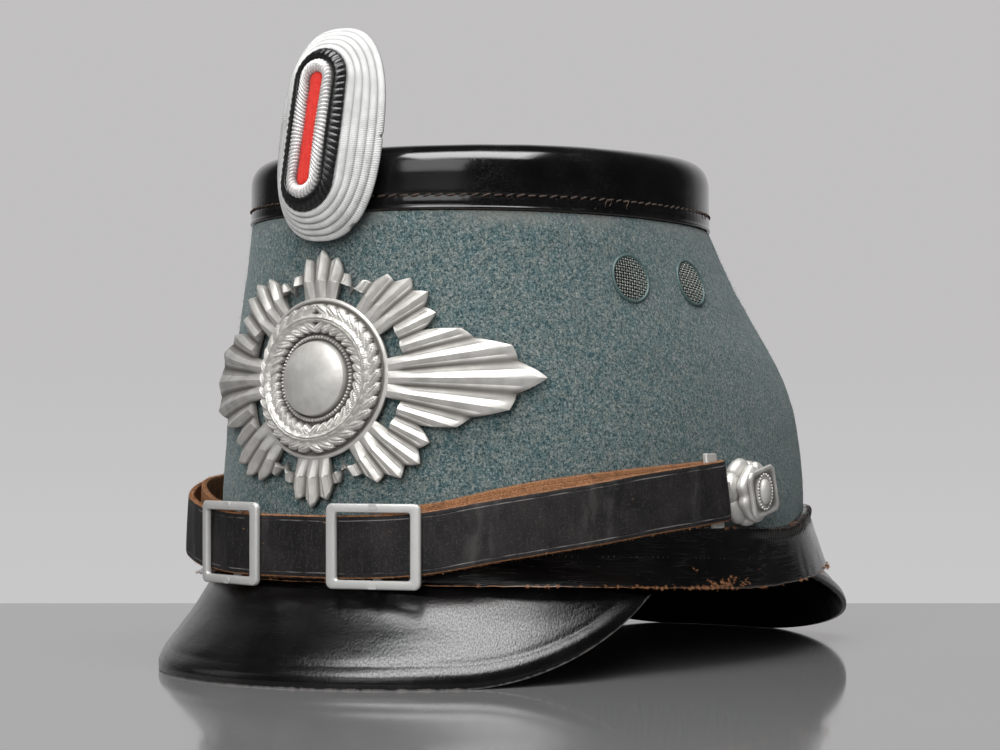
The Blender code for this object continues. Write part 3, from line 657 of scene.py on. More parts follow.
class Tree:
    """Short calls that add nodes to a material or to a node group."""

    def __init__(self, tree):
        self.tree = tree

    def add(self, kind, inputs=None, **settings):
        made = self.tree.nodes.new("ShaderNode" + kind)
        for name, value in settings.items():
            setattr(made, name, value)
        for name, value in (inputs or {}).items():
            self.feed(value, made.inputs[name])
        return made

    def feed(self, value, socket):
        """Links or sets a socket. A colour is given without its alpha."""
        if is_socket(value):
            self.tree.links.new(value, socket)
        elif value is not None:
            socket.default_value = (*value, 1.0) if socket.type == "RGBA" else value

    def math(self, operation, a, b=None, c=None, clamp=False):
        made = self.add("Math", {0: a, 1: b, 2: c}, operation=operation, use_clamp=clamp)
        return made.outputs[0]

    def times(self, a, b):
        return self.math("MULTIPLY", a, b)

    def plus(self, a, b, clamp=False):
        return self.math("ADD", a, b, clamp=clamp)

    def minus(self, a, b, clamp=False):
        return self.math("SUBTRACT", a, b, clamp=clamp)

    def vector(self, operation, a, b=None):
        made = self.add("VectorMath", {0: a, 1: b}, operation=operation)
        return made.outputs[0]

    def mix(self, factor, a, b, blend="MIX"):
        made = self.add("Mix", {0: factor, 6: a, 7: b}, data_type="RGBA", blend_type=blend)
        return made.outputs[2]

    def tint(self, colour, mask, amount, tone):
        """A colour turned towards a tone where a mask says, by an amount at most."""
        return self.mix(self.times(mask, amount), colour, tone)

    def ramp(self, value, low, high, to_low=0.0, to_high=1.0):
        """Smoothly maps low..high to to_low..to_high."""
        made = self.add(
            "MapRange",
            {"Value": value, "From Min": low, "From Max": high,
             "To Min": to_low, "To Max": to_high},
            interpolation_type="SMOOTHSTEP",
        )
        return made.outputs["Result"]

    def counted(self, position, size_mm):
        """The position, counted in lumps of a size in millimetres."""
        made = self.add("VectorMath", {0: position, "Scale": 1.0}, operation="SCALE")
        lumps_in_mm = self.math("DIVIDE", 1.0, size_mm) if is_socket(size_mm) else 1.0 / size_mm
        self.feed(lumps_in_mm, made.inputs["Scale"])
        return made.outputs[0]

    def noise(self, position, size_mm, detail=3.0, rough=0.55, distort=0.0):
        """Noise with lumps of a size in millimetres, over a position in millimetres."""
        made = self.add(
            "TexNoise",
            {"Vector": self.counted(position, size_mm), "Scale": 1.0, "Detail": detail,
             "Roughness": rough, "Distortion": distort},
        )
        return made.outputs["Fac"]

    def cells(self, position, size_mm, feature="F1"):
        """Distance from the nearest of scattered points, a size in millimetres apart."""
        where = self.counted(position, size_mm)
        made = self.add("TexVoronoi", {"Vector": where, "Scale": 1.0}, feature=feature)
        return made.outputs["Distance"]

    def stretch(self, position, x, y, z):
        """The position, pulled out by a factor along each axis."""
        return self.vector("DIVIDE", position, (x, y, z))

    def mask(self, name):
        return self.add("Attribute", attribute_name=name).outputs["Fac"]

    def place(self):
        """The piece's own surface measures, in millimetres."""
        return self.add("Attribute", attribute_name="place").outputs["Vector"]

    def spot(self):
        """The point in the hat's frame, in millimetres."""
        where = self.add("TexCoord").outputs["Object"]
        return self.vector("MULTIPLY", where, (1000.0, 1000.0, 1000.0))

    def group(self, group, **inputs):
        made = self.add("Group")
        made.node_tree = group
        for name, value in inputs.items():
            self.feed(value, made.inputs[name])
        return made.outputs

    def bump(self, height, distance_mm, strength=1.0, normal=None):
        levels = {"Strength": strength, "Distance": distance_mm * MM}
        return self.add("Bump", {**levels, "Height": height, "Normal": normal}).outputs["Normal"]


def effect(outputs, **inputs):
    """Draws a function's nodes into a group of its name. None starts an input that is a vector."""

    def build(draw):
        group = bpy.data.node_groups.new(draw.__name__, "ShaderNodeTree")
        for label, start in inputs.items():
            kind = "NodeSocketVector" if start is None else "NodeSocketFloat"
            socket = group.interface.new_socket(label, in_out="INPUT", socket_type=kind)
            if start is not None:
                socket.default_value = start
        for label in outputs.split():
            group.interface.new_socket(label, in_out="OUTPUT", socket_type="NodeSocketFloat")
        taken = group.nodes.new("NodeGroupInput").outputs
        given = group.nodes.new("NodeGroupOutput").inputs
        tree = Tree(group)
        drawn = draw(tree, *(taken[label] for label in inputs))
        for label, value in zip(outputs.split(), drawn):
            tree.feed(value, given[label])
        return group

    return build


@effect("Patches Light Dark Height", Position=None, Fibre=1.0)
def felt_fibres(tree, where, fibre):
    """Matted wool: cloudy patches, short light and dark fibres, and their height."""
    patches = tree.noise(where, tree.times(fibre, 3.0), 3.0, 0.6, 0.3)
    lumps = tree.noise(where, fibre, 2.0, 0.55)
    lying, standing = tree.stretch(where, 1.0, 1.0, 1.6), tree.stretch(where, 1.6, 1.6, 1.0)
    strands = tree.noise(lying, tree.times(fibre, 0.42), 3.0, 0.6, 0.15)
    crossing = tree.noise(standing, tree.times(fibre, 0.38), 3.0, 0.6, 0.15)
    tangle = tree.plus(tree.times(strands, 0.5), tree.times(crossing, 0.5))
    both = tree.plus(tree.times(lumps, 0.28), tree.times(tangle, 0.72))
    light, dark = tree.ramp(both, 0.515, 0.60), tree.ramp(both, 0.50, 0.425)
    return tree.ramp(patches, 0.34, 0.66), light, dark, tree.plus(tree.times(lumps, 0.5), tangle)


@effect("Height Pores Cloud", Position=None, Grain=0.6)
def leather_grain(tree, where, grain):
    """Pebbled hide: the height of its grain, its pores, and slow clouds in its finish."""
    drift = tree.add("TexNoise", {"Vector": where, "Scale": 0.7, "Detail": 1.0}).outputs["Color"]
    warped = tree.vector("ADD", where, tree.vector("MULTIPLY", drift, (0.35, 0.35, 0.35)))
    pebbles = tree.cells(warped, grain, "SMOOTH_F1")
    fine = tree.noise(where, tree.times(grain, 0.6), 4.0, 0.6)
    height = tree.plus(tree.times(pebbles, -0.6), tree.times(fine, 0.5))
    return height, tree.ramp(pebbles, 0.62, 0.9), tree.noise(where, 16.0, 3.0, 0.6)


@effect("Lines Nicks", Position=None, Spacing=1.2, Amount=0.5)
def scratches(tree, where, spacing, amount):
    """Fine scratches along the first axis of a position, and scattered short nicks."""
    lines = tree.noise(tree.stretch(where, 26.0, 1.0, 1.0), spacing, 2.0, 0.5, 0.3)
    thin = tree.math("ABSOLUTE", tree.minus(lines, 0.5))
    faint = tree.ramp(tree.noise(where, 14.0, 2.0, 0.5), 0.4, 0.7)
    limit = tree.times(faint, tree.times(amount, 0.03))
    drawn = tree.minus(1.0, tree.math("DIVIDE", thin, tree.plus(limit, 0.0005)), clamp=True)
    slanted = tree.stretch(tree.vector("ADD", where, (3.0, 7.0, 1.0)), 3.5, 1.0, 1.0)
    dots = tree.cells(slanted, tree.times(spacing, 3.0))
    size = tree.times(tree.ramp(tree.noise(where, 9.0, 2.0), 0.5, 0.75), 0.16)
    return drawn, tree.ramp(tree.minus(tree.times(size, amount), dots), 0.0, 0.03)


@effect("Specks", Position=None, Amount=0.5)
def dust(tree, where, amount):
    """Settled dust: separate pale specks."""
    size = tree.times(tree.ramp(tree.noise(where, 3.1, 1.0), 0.55, 0.75), 0.1)
    shown = tree.minus(tree.times(size, amount), tree.cells(where, 2.6))
    return [tree.ramp(shown, 0.0, 0.02)]


@effect("Worn", Position=None, Edge=0.0, Reach=0.5)
def edge_wear(tree, where, edge, reach):
    """Wear that eats in from a cut edge in an uneven line."""
    uneven = tree.noise(where, 2.2, 4.0, 0.65)
    level = tree.plus(edge, tree.times(tree.minus(uneven, 0.5), 1.1))
    return [tree.ramp(level, tree.minus(1.0, reach), 1.12)]


@effect("Height Tone", Position=None, Grain=0.3)
def cast_skin(tree, where, grain):
    """Fine sand-cast skin: its height, and a slow change of tone."""
    fine = tree.noise(where, grain, 4.0, 0.65)
    pits = tree.cells(where, tree.times(grain, 2.4))
    height = tree.plus(fine, tree.ramp(pits, 0.0, 0.3, 0.0, 0.35))
    return height, tree.ramp(tree.noise(where, 6.0, 3.0), 0.35, 0.65)


@effect("Holes Pull", Place=None, Across=0.0, Pitch=3.4, Size=1.0)
def seam_holes(tree, place, across, pitch, size):
    """A row of needle holes along the first axis of a place, at a given distance across."""
    split = tree.add("SeparateXYZ", {0: place}).outputs
    turn = tree.math("FRACT", tree.math("DIVIDE", split[0], pitch))
    along = tree.times(tree.minus(turn, 0.5), pitch)
    off = tree.minus(split[1], across)
    far = tree.math("SQRT", tree.plus(tree.math("POWER", along, 2.0), tree.math("POWER", off, 2.0)))
    far = tree.math("DIVIDE", far, size)
    return tree.ramp(far, 0.75, 0.35), tree.ramp(far, 2.2, 0.3)


def new_material(name, **fixed):
    """A material and its tree. fixed are the shader's own constant values."""
    material = bpy.data.materials.new(name)
    material.use_nodes = True
    tree = Tree(material.node_tree)
    shader = material.node_tree.nodes["Principled BSDF"].inputs
    for label, value in fixed.items():
        tree.feed(value, shader[label.replace("_", " ")])
    return material, tree, shader


def felt_material():
    material, tree, shader = new_material(
        "felt_blue_green", Roughness=0.95, Specular_IOR_Level=0.2,
        Sheen_Weight=0.25, Sheen_Roughness=0.5, Sheen_Tint=(0.75, 0.85, 0.85),
    )
    wool = tree.group(felt_fibres, Position=tree.spot(), Fibre=1.0)
    base = tree.mix(wool["Patches"], (0.070, 0.117, 0.125), (0.128, 0.155, 0.147))
    base = tree.tint(base, wool["Dark"], 0.9, (0.011, 0.034, 0.041))
    base = tree.tint(base, wool["Light"], 0.8, (0.285, 0.30, 0.28))
    base = tree.tint(base, tree.mask("worn"), 0.7, (0.16, 0.165, 0.155))
    tree.feed(base, shader["Base Color"])
    tree.feed(tree.bump(wool["Height"], 0.5, 0.8), shader["Normal"])
    return material


def nap_material():
    material, tree, shader = new_material("felt_nap", Roughness=0.9, Specular_IOR_Level=0.2)
    tone = tree.mask("tone")
    colour = tree.mix(tree.ramp(tone, 0.0, 0.45), (0.03, 0.07, 0.08), (0.10, 0.17, 0.17))
    colour = tree.mix(tree.ramp(tone, 0.6, 1.0), colour, (0.42, 0.46, 0.44))
    tree.feed(colour, shader["Base Color"])
    return material


def leather_material(
    name, grain, roughness, wear, raw_edge, coat, coat_roughness, depth, relief,
    stitched=False, gathered=False, rolled=False,
):
    """Black lacquered leather. wear is how far scuffs show, raw_edge the colour of a worn edge."""
    material, tree, shader = new_material(
        name, Coat_Roughness=coat_roughness, Specular_IOR_Level=0.3
    )
    place = tree.place()
    spot = tree.spot()
    hide_position = tree.stretch(place, 1.0, 2.0, 1.0) if rolled else spot
    hide = tree.group(leather_grain, Position=hide_position, Grain=grain)
    marks = tree.group(scratches, Position=spot if stitched else place, Spacing=1.0, Amount=wear)
    specks = tree.group(dust, Position=spot, Amount=wear)["Specks"]
    worn = tree.group(edge_wear, Position=spot, Edge=tree.mask("edge"), Reach=0.35)["Worn"]
    cloud = tree.ramp(hide["Cloud"], 0.35, 0.7)
    colour = tree.mix(cloud, (0.0024, 0.0023, 0.0026), (0.0060, 0.0056, 0.0058))
    colour = tree.tint(colour, hide["Pores"], 0.5, (0.003, 0.003, 0.003))
    colour = tree.tint(colour, marks["Lines"], 0.16, (0.11, 0.105, 0.10))
    colour = tree.tint(colour, marks["Nicks"], 0.5, (0.20, 0.17, 0.14))
    colour = tree.tint(colour, specks, 0.7, (0.42, 0.40, 0.38))
    colour = tree.mix(worn, colour, raw_edge)
    height = hide["Height"]
    if stitched:
        holes = tree.group(
            seam_holes, Place=place, Across=SEAM_HEIGHT / MM, Pitch=STITCH_PITCH / MM
        )
        colour = tree.mix(holes["Holes"], colour, (0.002, 0.0015, 0.001))
        height = tree.minus(height, tree.times(holes["Pull"], 1.3))
    if gathered:
        # Painted highlight: lighter bars on the crests of the gathered pleats.
        colour = tree.tint(colour, tree.mask("fold"), 0.8, (0.045, 0.036, 0.030))
        dots = tree.group(seam_holes, Place=place, Across=8.7, Pitch=1.9, Size=0.45)["Holes"]
        faint = tree.ramp(tree.noise(spot, 7.0, 2.0), 0.42, 0.62, 0.0, 0.6)
        colour = tree.tint(colour, dots, faint, (0.10, 0.09, 0.08))
    tree.feed(colour, shader["Base Color"])
    rough = tree.plus(tree.times(cloud, 0.05), roughness)
    rough = tree.plus(rough, tree.times(marks["Lines"], 0.15))
    rough = tree.plus(rough, tree.times(worn, 0.4), clamp=True)
    tree.feed(rough, shader["Roughness"])
    lacquer = tree.times(tree.minus(1.0, worn, clamp=True), coat)
    if rolled:
        pebble = tree.noise(tree.stretch(place, 1.0, 1.9, 1.0), 0.42, 2.0, 0.6)
        lacquer = tree.times(lacquer, tree.ramp(pebble, 0.36, 0.64, 0.3, 1.7))
    tree.feed(lacquer, shader["Coat Weight"])
    normal = tree.bump(height, depth, relief)
    normal = tree.bump(tree.times(marks["Lines"], -1.0), 0.02, wear, normal)
    tree.feed(normal, shader["Normal"])
    return material


def strap_material():
    material, tree, shader = new_material("strap_leather", Specular_IOR_Level=0.25)
    place = tree.place()
    spot = tree.spot()
    grain_side = tree.mask("grain_side")
    hide = tree.group(leather_grain, Position=spot, Grain=0.45)
    marks = tree.group(scratches, Position=place, Spacing=0.8, Amount=1.2)
    worn = tree.group(edge_wear, Position=spot, Edge=tree.mask("edge"), Reach=0.62)["Worn"]
    crease = tree.mask("crease")
    upright = tree.stretch(place, 1.0, 9.0, 1.0)
    streaks = tree.noise(upright, 0.7, 3.0, 0.6)
    cloud = tree.ramp(hide["Cloud"], 0.35, 0.7)
    black = tree.mix(cloud, (0.0075, 0.0068, 0.0070), (0.0165, 0.0145, 0.0145))
    black = tree.mix(tree.ramp(streaks, 0.5, 0.75, 0.0, 0.6), black, (0.030, 0.026, 0.025))
    patchy = tree.ramp(
        tree.noise(tree.stretch(place, 1.0, 3.0, 1.0), 2.5, 3.0), 0.40, 0.62, 0.05, 0.26
    )
    black = tree.tint(black, crease, patchy, (0.15, 0.145, 0.14))
    across = tree.math("ABSOLUTE", tree.add("SeparateXYZ", {0: place}).outputs[1])
    line = tree.ramp(tree.math("ABSOLUTE", tree.minus(across, 7.3)), 0.24, 0.05)
    broken = tree.ramp(tree.noise(tree.stretch(place, 6.0, 1.0, 1.0), 1.6, 3.0), 0.42, 0.6)
    black = tree.tint(black, line, broken, (0.15, 0.143, 0.14))
    glints = tree.ramp(
        tree.noise(tree.stretch(place, 1.0, 1.4, 1.0), 0.5, 2.0, 0.6), 0.55, 0.70, 0.0, 0.5
    )
    black = tree.mix(glints, black, (0.052, 0.048, 0.047))
    black = tree.tint(black, marks["Nicks"], 0.5, (0.30, 0.16, 0.08))
    fuzz = tree.noise(spot, 0.35, 4.0, 0.7)
    tan = tree.mix(tree.ramp(fuzz, 0.35, 0.7), (0.16, 0.066, 0.026), (0.44, 0.215, 0.105))
    dirty = tree.ramp(tree.noise(spot, 4.0, 3.0), 0.5, 0.72, 0.0, 0.6)
    tan = tree.mix(dirty, tan, (0.06, 0.032, 0.018))
    face = tree.mix(grain_side, tan, black)
    face = tree.mix(worn, face, tan)
    tree.feed(face, shader["Base Color"])
    rough = tree.minus(0.85, tree.times(grain_side, 0.30))
    rough = tree.plus(rough, tree.times(cloud, 0.1), clamp=True)
    tree.feed(rough, shader["Roughness"])
    height = tree.minus(hide["Height"], tree.times(line, 0.8))
    height = tree.plus(height, tree.times(worn, tree.times(fuzz, 1.5)))
    tree.feed(tree.bump(height, 0.2, 0.5), shader["Normal"])
    return material


def metal_material(name, light, shade, roughness, grain, metallic=1.0, depth=0.08):
    """Cast silvery metal, brighter on its high points; its recesses are duller and get painted
    shade.
    """
    material, tree, shader = new_material(name, Metallic=metallic)
    spot = tree.spot()
    skin = tree.group(cast_skin, Position=spot, Grain=grain)
    # This mask paints shade into recesses and between parts: the colour turns towards the shade
    # colour there.
    hollow = tree.mask("hollow")
    shaded = tree.mix(tree.ramp(hollow, 0.1, 1.0), light, shade)
    toned = tree.tint(shaded, skin["Tone"], 0.25, shade)
    tree.feed(toned, shader["Base Color"])
    rough = tree.plus(roughness, tree.times(hollow, 0.2))
    rough = tree.plus(rough, tree.times(skin["Tone"], 0.06))
    tree.feed(rough, shader["Roughness"])
    tree.feed(tree.bump(skin["Height"], depth, 0.5), shader["Normal"])
    return material


def thread_material(name, light, dark, roughness, metallic=0.0, size=0.25):
    """Wound or twisted thread, with painted shade between its strands."""
    material, tree, shader = new_material(name, Metallic=metallic)
    spot = tree.spot()
    hollow = tree.mask("hollow")
    strands = tree.noise(spot, size, 3.0, 0.6)
    base = tree.mix(tree.ramp(strands, 0.35, 0.7), dark, light)
    # Painted shade between the strands; on the black cord the same mask also darkens its plain
    # smooth band.
    base = tree.mix(tree.ramp(hollow, 0.2, 1.0), base, dark)
    tree.feed(base, shader["Base Color"])
    tree.feed(tree.ramp(strands, 0.3, 0.7, roughness, roughness + 0.15), shader["Roughness"])
    tree.feed(tree.bump(strands, 0.08, 0.5), shader["Normal"])
    return material


def red_felt_material():
    material, tree, shader = new_material(
        "core_felt_red", Roughness=0.9, Sheen_Weight=0.1, Sheen_Roughness=0.4,
        Sheen_Tint=(1.0, 0.5, 0.45),
    )
    wool = tree.group(felt_fibres, Position=tree.spot(), Fibre=0.55)
    base = tree.tint((0.60, 0.026, 0.017), wool["Dark"], 0.6, (0.40, 0.010, 0.008))
    base = tree.tint(base, wool["Light"], 0.3, (0.80, 0.12, 0.08))
    tree.feed(base, shader["Base Color"])
    tree.feed(tree.bump(wool["Height"], 0.2, 0.7), shader["Normal"])
    return material


def floor_material():
    material, tree, shader = new_material("pale_table", Roughness=0.07, Specular_IOR_Level=0.5)
    cloud = tree.noise(tree.spot(), 160.0, 2.0)
    tree.feed(tree.mix(cloud, (0.255, 0.255, 0.255), (0.27, 0.27, 0.27)), shader["Base Color"])
    return material


# ---------------------------------------------------------------- felt and leather


def build_felt_body(material):
    """The felt wall, with its surface slightly uneven and four holes cut for the vents."""
    piece = Piece("felt_body")
    angle = turns(FELT_COLUMNS)[None]
    heights = np.linspace(BODY_FOOT, FELT_TOP, FELT_ROWS)[:, None]
    outer = body_at(heights, angle)
    normals = outwards(grid_normals(outer), outer)
    uneven = unevenness(outer, (0.00009, 0.0017, 11), (0.00016, 0.006, 12), (0.00035, 0.028, 13))
    fade = soft_step(FELT_TOP - heights, 0.0, 0.004)
    outer = outer + normals * (uneven * fade)[..., None]
    neck = -(CROWN_THICK - CROWN_PROUD + GAP)
    shoulder = [body_at(FELT_TOP, angle[0], neck), crown_at(NECK_TOP, angle[0], neck),
                crown_at(NECK_TOP, angle[0], neck - NECK_WALL)]
    inner = body_at(np.linspace(FELT_TOP, BODY_FOOT, FELT_INNER_ROWS)[:, None], angle, -BODY_WALL)
    rings = np.concatenate([outer, np.stack(shoulder), inner])
    close_to_cap = soft_step(heights, FELT_TOP - 0.006, FELT_TOP - 0.0005)
    blotch = np.clip(0.5 + 0.9 * soft_noise(outer, 0.012, 14), 0, 1)
    worn = backed(close_to_cap * blotch, rings.shape)
    piece.grid(rings, close_rows=True, close_columns=True, worn=worn.ravel())
    body = piece.finish(material, ["crown_wall"])
    cutters = Piece("vent_cutters")
    turn, reach = turns(28), VENT_BARREL + GAP
    for _, place in vent_places():
        rings = [place(reach * np.cos(turn), reach * np.sin(turn), out) for out in (-0.006, 0.006)]
        cutters.grid(np.stack(rings), close_columns=True, cap=True)
    cutter = add_object("vent_cutters", cutters.mesh())
    turn_outwards(cutter.data)
    cut = body.modifiers.new("vents", "BOOLEAN")
    cut.object = cutter
    cut.operation = "DIFFERENCE"
    cut.solver = "EXACT"
    settle(body)
    bpy.data.objects.remove(cutter)
    body.data.shade_smooth()
    body.data.set_sharp_from_angle(angle=radians(50))
    return body


def build_felt_nap(material):
    """Loose wool fibres that lie on the felt and break its outline."""
    random = np.random.default_rng(21)
    count = NAP_FIBRES
    height = random.uniform(0.0400, FELT_TOP - 0.0002, count)
    angle = random.uniform(0, 2 * pi, count)
    roots = body_at(height, angle, -0.0001)
    level = unit(body_at(height, angle + 0.004) - roots)
    upward = unit(body_at(height + 0.0004, angle) - roots)
    outward = outwards(unit(np.cross(level, upward)), roots)
    lean = random.uniform(0, 2 * pi, count)
    along = level * np.cos(lean)[:, None] + upward * np.sin(lean)[:, None]
    piece = Piece("felt_nap")
    piece.fibres(
        roots, along + outward * random.uniform(0.0, 0.25, count)[:, None], outward,
        random.uniform(0.0006, 0.0016, count), random.uniform(0.00003, 0.00007, count),
        random.uniform(0.0001, 0.00040, count), random.uniform(-0.0004, 0.0004, count),
        tone=random.uniform(0, 1, count),
    )
    return piece.finish(material, open_sheet=True)


def build_crown_cap(material):
    """The crown top: smooth over its rounded edge, with a sunk seam and a welt at the foot."""
    piece = Piece("crown_cap")
    angle = turns(CAP_COLUMNS)
    centre_grow = CROWN_PROUD - CROWN_CORNER
    turn_height = CROWN_HIGH - CROWN_CORNER
    rim = crown_at(CROWN_HIGH, angle, centre_grow)
    middle = rim.mean(0)
    rings = [middle + (rim - middle) * share for share in np.linspace(0.004, 1.0, 12)[:-1]]
    across = [-200.0] * len(rings)
    for quarter in np.linspace(0, pi / 2, 19):
        over, out = oval(quarter, CORNER_POWER)
        rings.append(
            crown_at(turn_height + CROWN_CORNER * over, angle, centre_grow + CROWN_CORNER * out)
        )
        across.append(
            (turn_height + CROWN_CORNER * (1 + 0.6 * (pi / 2 - quarter)) - CROWN_LOW) / MM
        )
    side_heights = np.linspace(turn_height, CROWN_LOW, 40)[1:]
    for height in side_heights:
        above = height - CROWN_LOW
        groove = 0.00016 * bump(above, SEAM_HEIGHT, 0.0006)
        strip = 0.00007 * bump(above, 0.0026, 0.0012)
        welt = 0.00035 * bump(above, 0.0006, 0.0005)
        rings.append(crown_at(height, angle, CROWN_PROUD - groove + strip + welt))
        across.append(above / MM)
    outer = np.stack(rings)
    across = np.array(across)[:, None]
    normals = outwards(grid_normals(outer), outer, (0.0, 0.0, 0.13))
    uneven = unevenness(outer, (0.00007, 0.009, 31), (0.00016, 0.034, 32))
    pucker = 0.00002 * bump(across, 4.6, 2.2) * np.cos(
        angle * round(2 * pi * 0.083 / STITCH_PITCH)
    )
    outer[1:] += (normals * (uneven + pucker)[..., None])[1:]
    inside = CROWN_CORNER - CROWN_THICK
    inner = [crown_at(CROWN_LOW, angle, CROWN_PROUD - CROWN_THICK)]
    for quarter in np.linspace(pi / 2, 0, 7):
        over, out = inside * cos(quarter), inside * sin(quarter)
        inner.append(crown_at(turn_height + over, angle, centre_grow + out))
    girth = arc_lengths(np.vstack([outer[-6], outer[-6][:1]]))
    stitches = round(girth[-1] / STITCH_PITCH)
    along = girth[:-1] * (stitches * STITCH_PITCH / girth[-1]) / MM
    whole = np.concatenate([outer, np.stack(inner)])
    place = surface_place(along, backed(across, whole.shape, -60.0))
    edge = backed(bump(across, 0.0, 0.45), whole.shape)
    piece.grid(whole, close_columns=True, cap=True, place=place, edge=edge.ravel())
    piece.finish(material, ["crown_top"], sharp=radians(70))
    return stitches


def build_crown_stitches(material, stitches):
    """Waxed thread stitches in the crown's seam, with a few worn loose ends."""
    random = np.random.default_rng(41)
    piece = Piece("crown_stitches")
    height = CROWN_LOW + SEAM_HEIGHT
    steps = 9
    around = turns(2400)
    ring = crown_at(height, around, CROWN_PROUD - 0.00025)
    girth = arc_lengths(np.vstack([ring, ring[:1]]))
    for k in range(stitches):
        start, stop = ((k + part) / stitches for part in STITCH_SPAN)
        spots = np.interp(np.linspace(start, stop, steps) % 1.0 * girth[-1], girth[:-1], around)
        arch = np.sin(np.linspace(0, pi, steps)) ** 0.5
        tilt = random.uniform(0.00005, 0.00050)
        path = crown_at(height, spots, CROWN_PROUD - 0.00060 + 0.00062 * arch)
        path[:, 2] += np.linspace(-tilt, tilt, steps)
        twist = 1 + 0.20 * np.cos(np.linspace(0, 6 * pi, steps))
        piece.tube(path, STITCH_RADIUS * random.uniform(0.8, 1.15) * twist, 7)
    for degrees, length in LOOSE_THREADS:
        fall = np.linspace(0.0002, -length, 8)
        sway = np.radians(degrees + 0.35 * np.sin(fall * 1600 + degrees))
        piece.tube(crown_at(height + fall, sway, CROWN_PROUD + 0.0003), 0.00016, 6)
    return piece.finish(material)


def build_base_band(material):
    """The leather band round the foot: flared below, its upper edge gathered towards the back."""
    piece = Piece("brow_band")
    degrees = np.concatenate([np.linspace(*span, endpoint=False) for span in BAND_SPANS])
    angle = np.radians(degrees)
    mirror = np.minimum(degrees, 360 - degrees)
    top, low, lip, flare = (smooth_rows(BAND_AROUND, name, mirror) for name in BandRow._fields[1:])
    girth = arc_lengths(body_at(BODY_FOOT, angle, BAND_TOP_PROUD))
    unrolled = np.stack([girth, girth * 0, girth * 0], -1)
    low = low + 0.00012 * soft_noise(unrolled, 0.003, 52)
    gather = soft_step(mirror, 86, 94) * soft_step(mirror, 150, 138)
    folds = np.cos(2 * pi * (girth + 0.0005 * soft_noise(unrolled, 0.004, 55)) / FOLD_PITCH)
    folds = folds * (1 + 0.5 * soft_noise(unrolled, 0.006, 56))
    rows = np.concatenate([np.linspace(0, 0.24, 15)[:-1], np.linspace(0.24, 0.7, 9)[:-1],
                           np.linspace(0.7, 1.0, 11)])

    def ring(row, inwards):
        proud = BAND_TOP_PROUD + (lip - BAND_TOP_PROUD) * row**flare
        pleat = (0.00034 * folds * bump(row, 0.04, 0.13) + 0.00050 * bump(row, 0.06, 0.07)
                 - 0.00016 * bump(row, 0.19, 0.04)) * gather
        return body_at(
            top + (low - top) * row, angle, proud - inwards + (pleat if inwards < 0.001 else 0)
        )

    outer = np.stack([ring(row, 0.0) for row in rows])
    outer[0] -= 0.35 * (outer[0] - ring(0.0, BAND_THICK))
    outer[-1] -= 0.30 * (outer[-1] - ring(1.0, BAND_THICK))
    normals = outwards(grid_normals(outer), outer)
    outer += normals * unevenness(outer, (0.00006, 0.005, 53), (0.00015, 0.02, 54))[..., None]
    inner = np.stack([ring(row, BAND_THICK) for row in (1.0, 0.85, 0.6, 0.3, 0.0)])
    whole = np.concatenate([outer, inner])
    rows = rows[:, None]
    place = surface_place(girth / MM, backed(rows * 17.0, whole.shape, 40.0))
    worn = np.maximum(bump(rows, 1.0, 0.03), 0.75 * bump(rows, 0.0, 0.03))
    back_corner = bump(mirror, 150, 14)
    edge = backed(worn + 0.5 * back_corner * bump(rows, 1.0, 0.06), whole.shape)
    # The fold mask marks the pleat crests, where the band's colour gets a painted highlight.
    fold = backed(bump(rows, 0.05, 0.13) * soft_step(folds, 0.1, 1.0) * gather, whole.shape)
    piece.grid(
        whole, close_rows=True, close_columns=True,
        place=place, edge=edge.ravel(), fold=fold.ravel(),
    )
    return piece.finish(material, ["base_band"], sharp=radians(75))


def visor_surface(visor, turn, share, extra_out):
    """Points on a visor's outer face: share is 0 at its seat and 1 at its lower edge."""
    end_share = np.abs(turn) / (pi / 2)
    end = radians(visor.end_angle) * turn / (pi / 2)
    seat = end if visor.facing < 0 else pi - end
    high = VISOR_TOP - visor.top_drop * end_share**2.5
    top = body_at(BODY_FOOT, seat, VISOR_THICK + 2 * GAP)
    flat = radians(visor.flat_angle)
    past_flat = np.maximum(0.0, (np.abs(turn) - flat) / (pi / 2 - flat))
    low = visor.end_lift * past_flat**visor.lift_power
    along, across = oval(turn, visor.power)
    foot_y = visor.widest_y + visor.facing * visor.reach * along
    run = np.stack([visor.half_width * across, foot_y], -1) - top[..., :2]
    length = np.maximum(np.linalg.norm(run, axis=-1), 1e-5)
    outward = run / length[..., None]
    drop = high - low
    main = np.clip(share / VISOR_ROLL, 0, 1)
    out_share, down_share = (smooth_rows(visor.slope, column, main) for column in ("out", "down"))
    rest = np.clip((share - VISOR_ROLL) / 0.05, 0, 1)
    down_share = down_share + (1 - down_share) * rest
    slant = np.hypot(length, drop)
    inwards = np.concatenate(
        [-outward * (drop / slant)[..., None], (-length / slant)[..., None]], -1
    )
    level = top[..., :2] + outward * (length * out_share)[..., None]
    points = np.concatenate([level, (high - drop * down_share)[..., None]], -1)
    return points - inwards * extra_out[..., None], inwards, slant


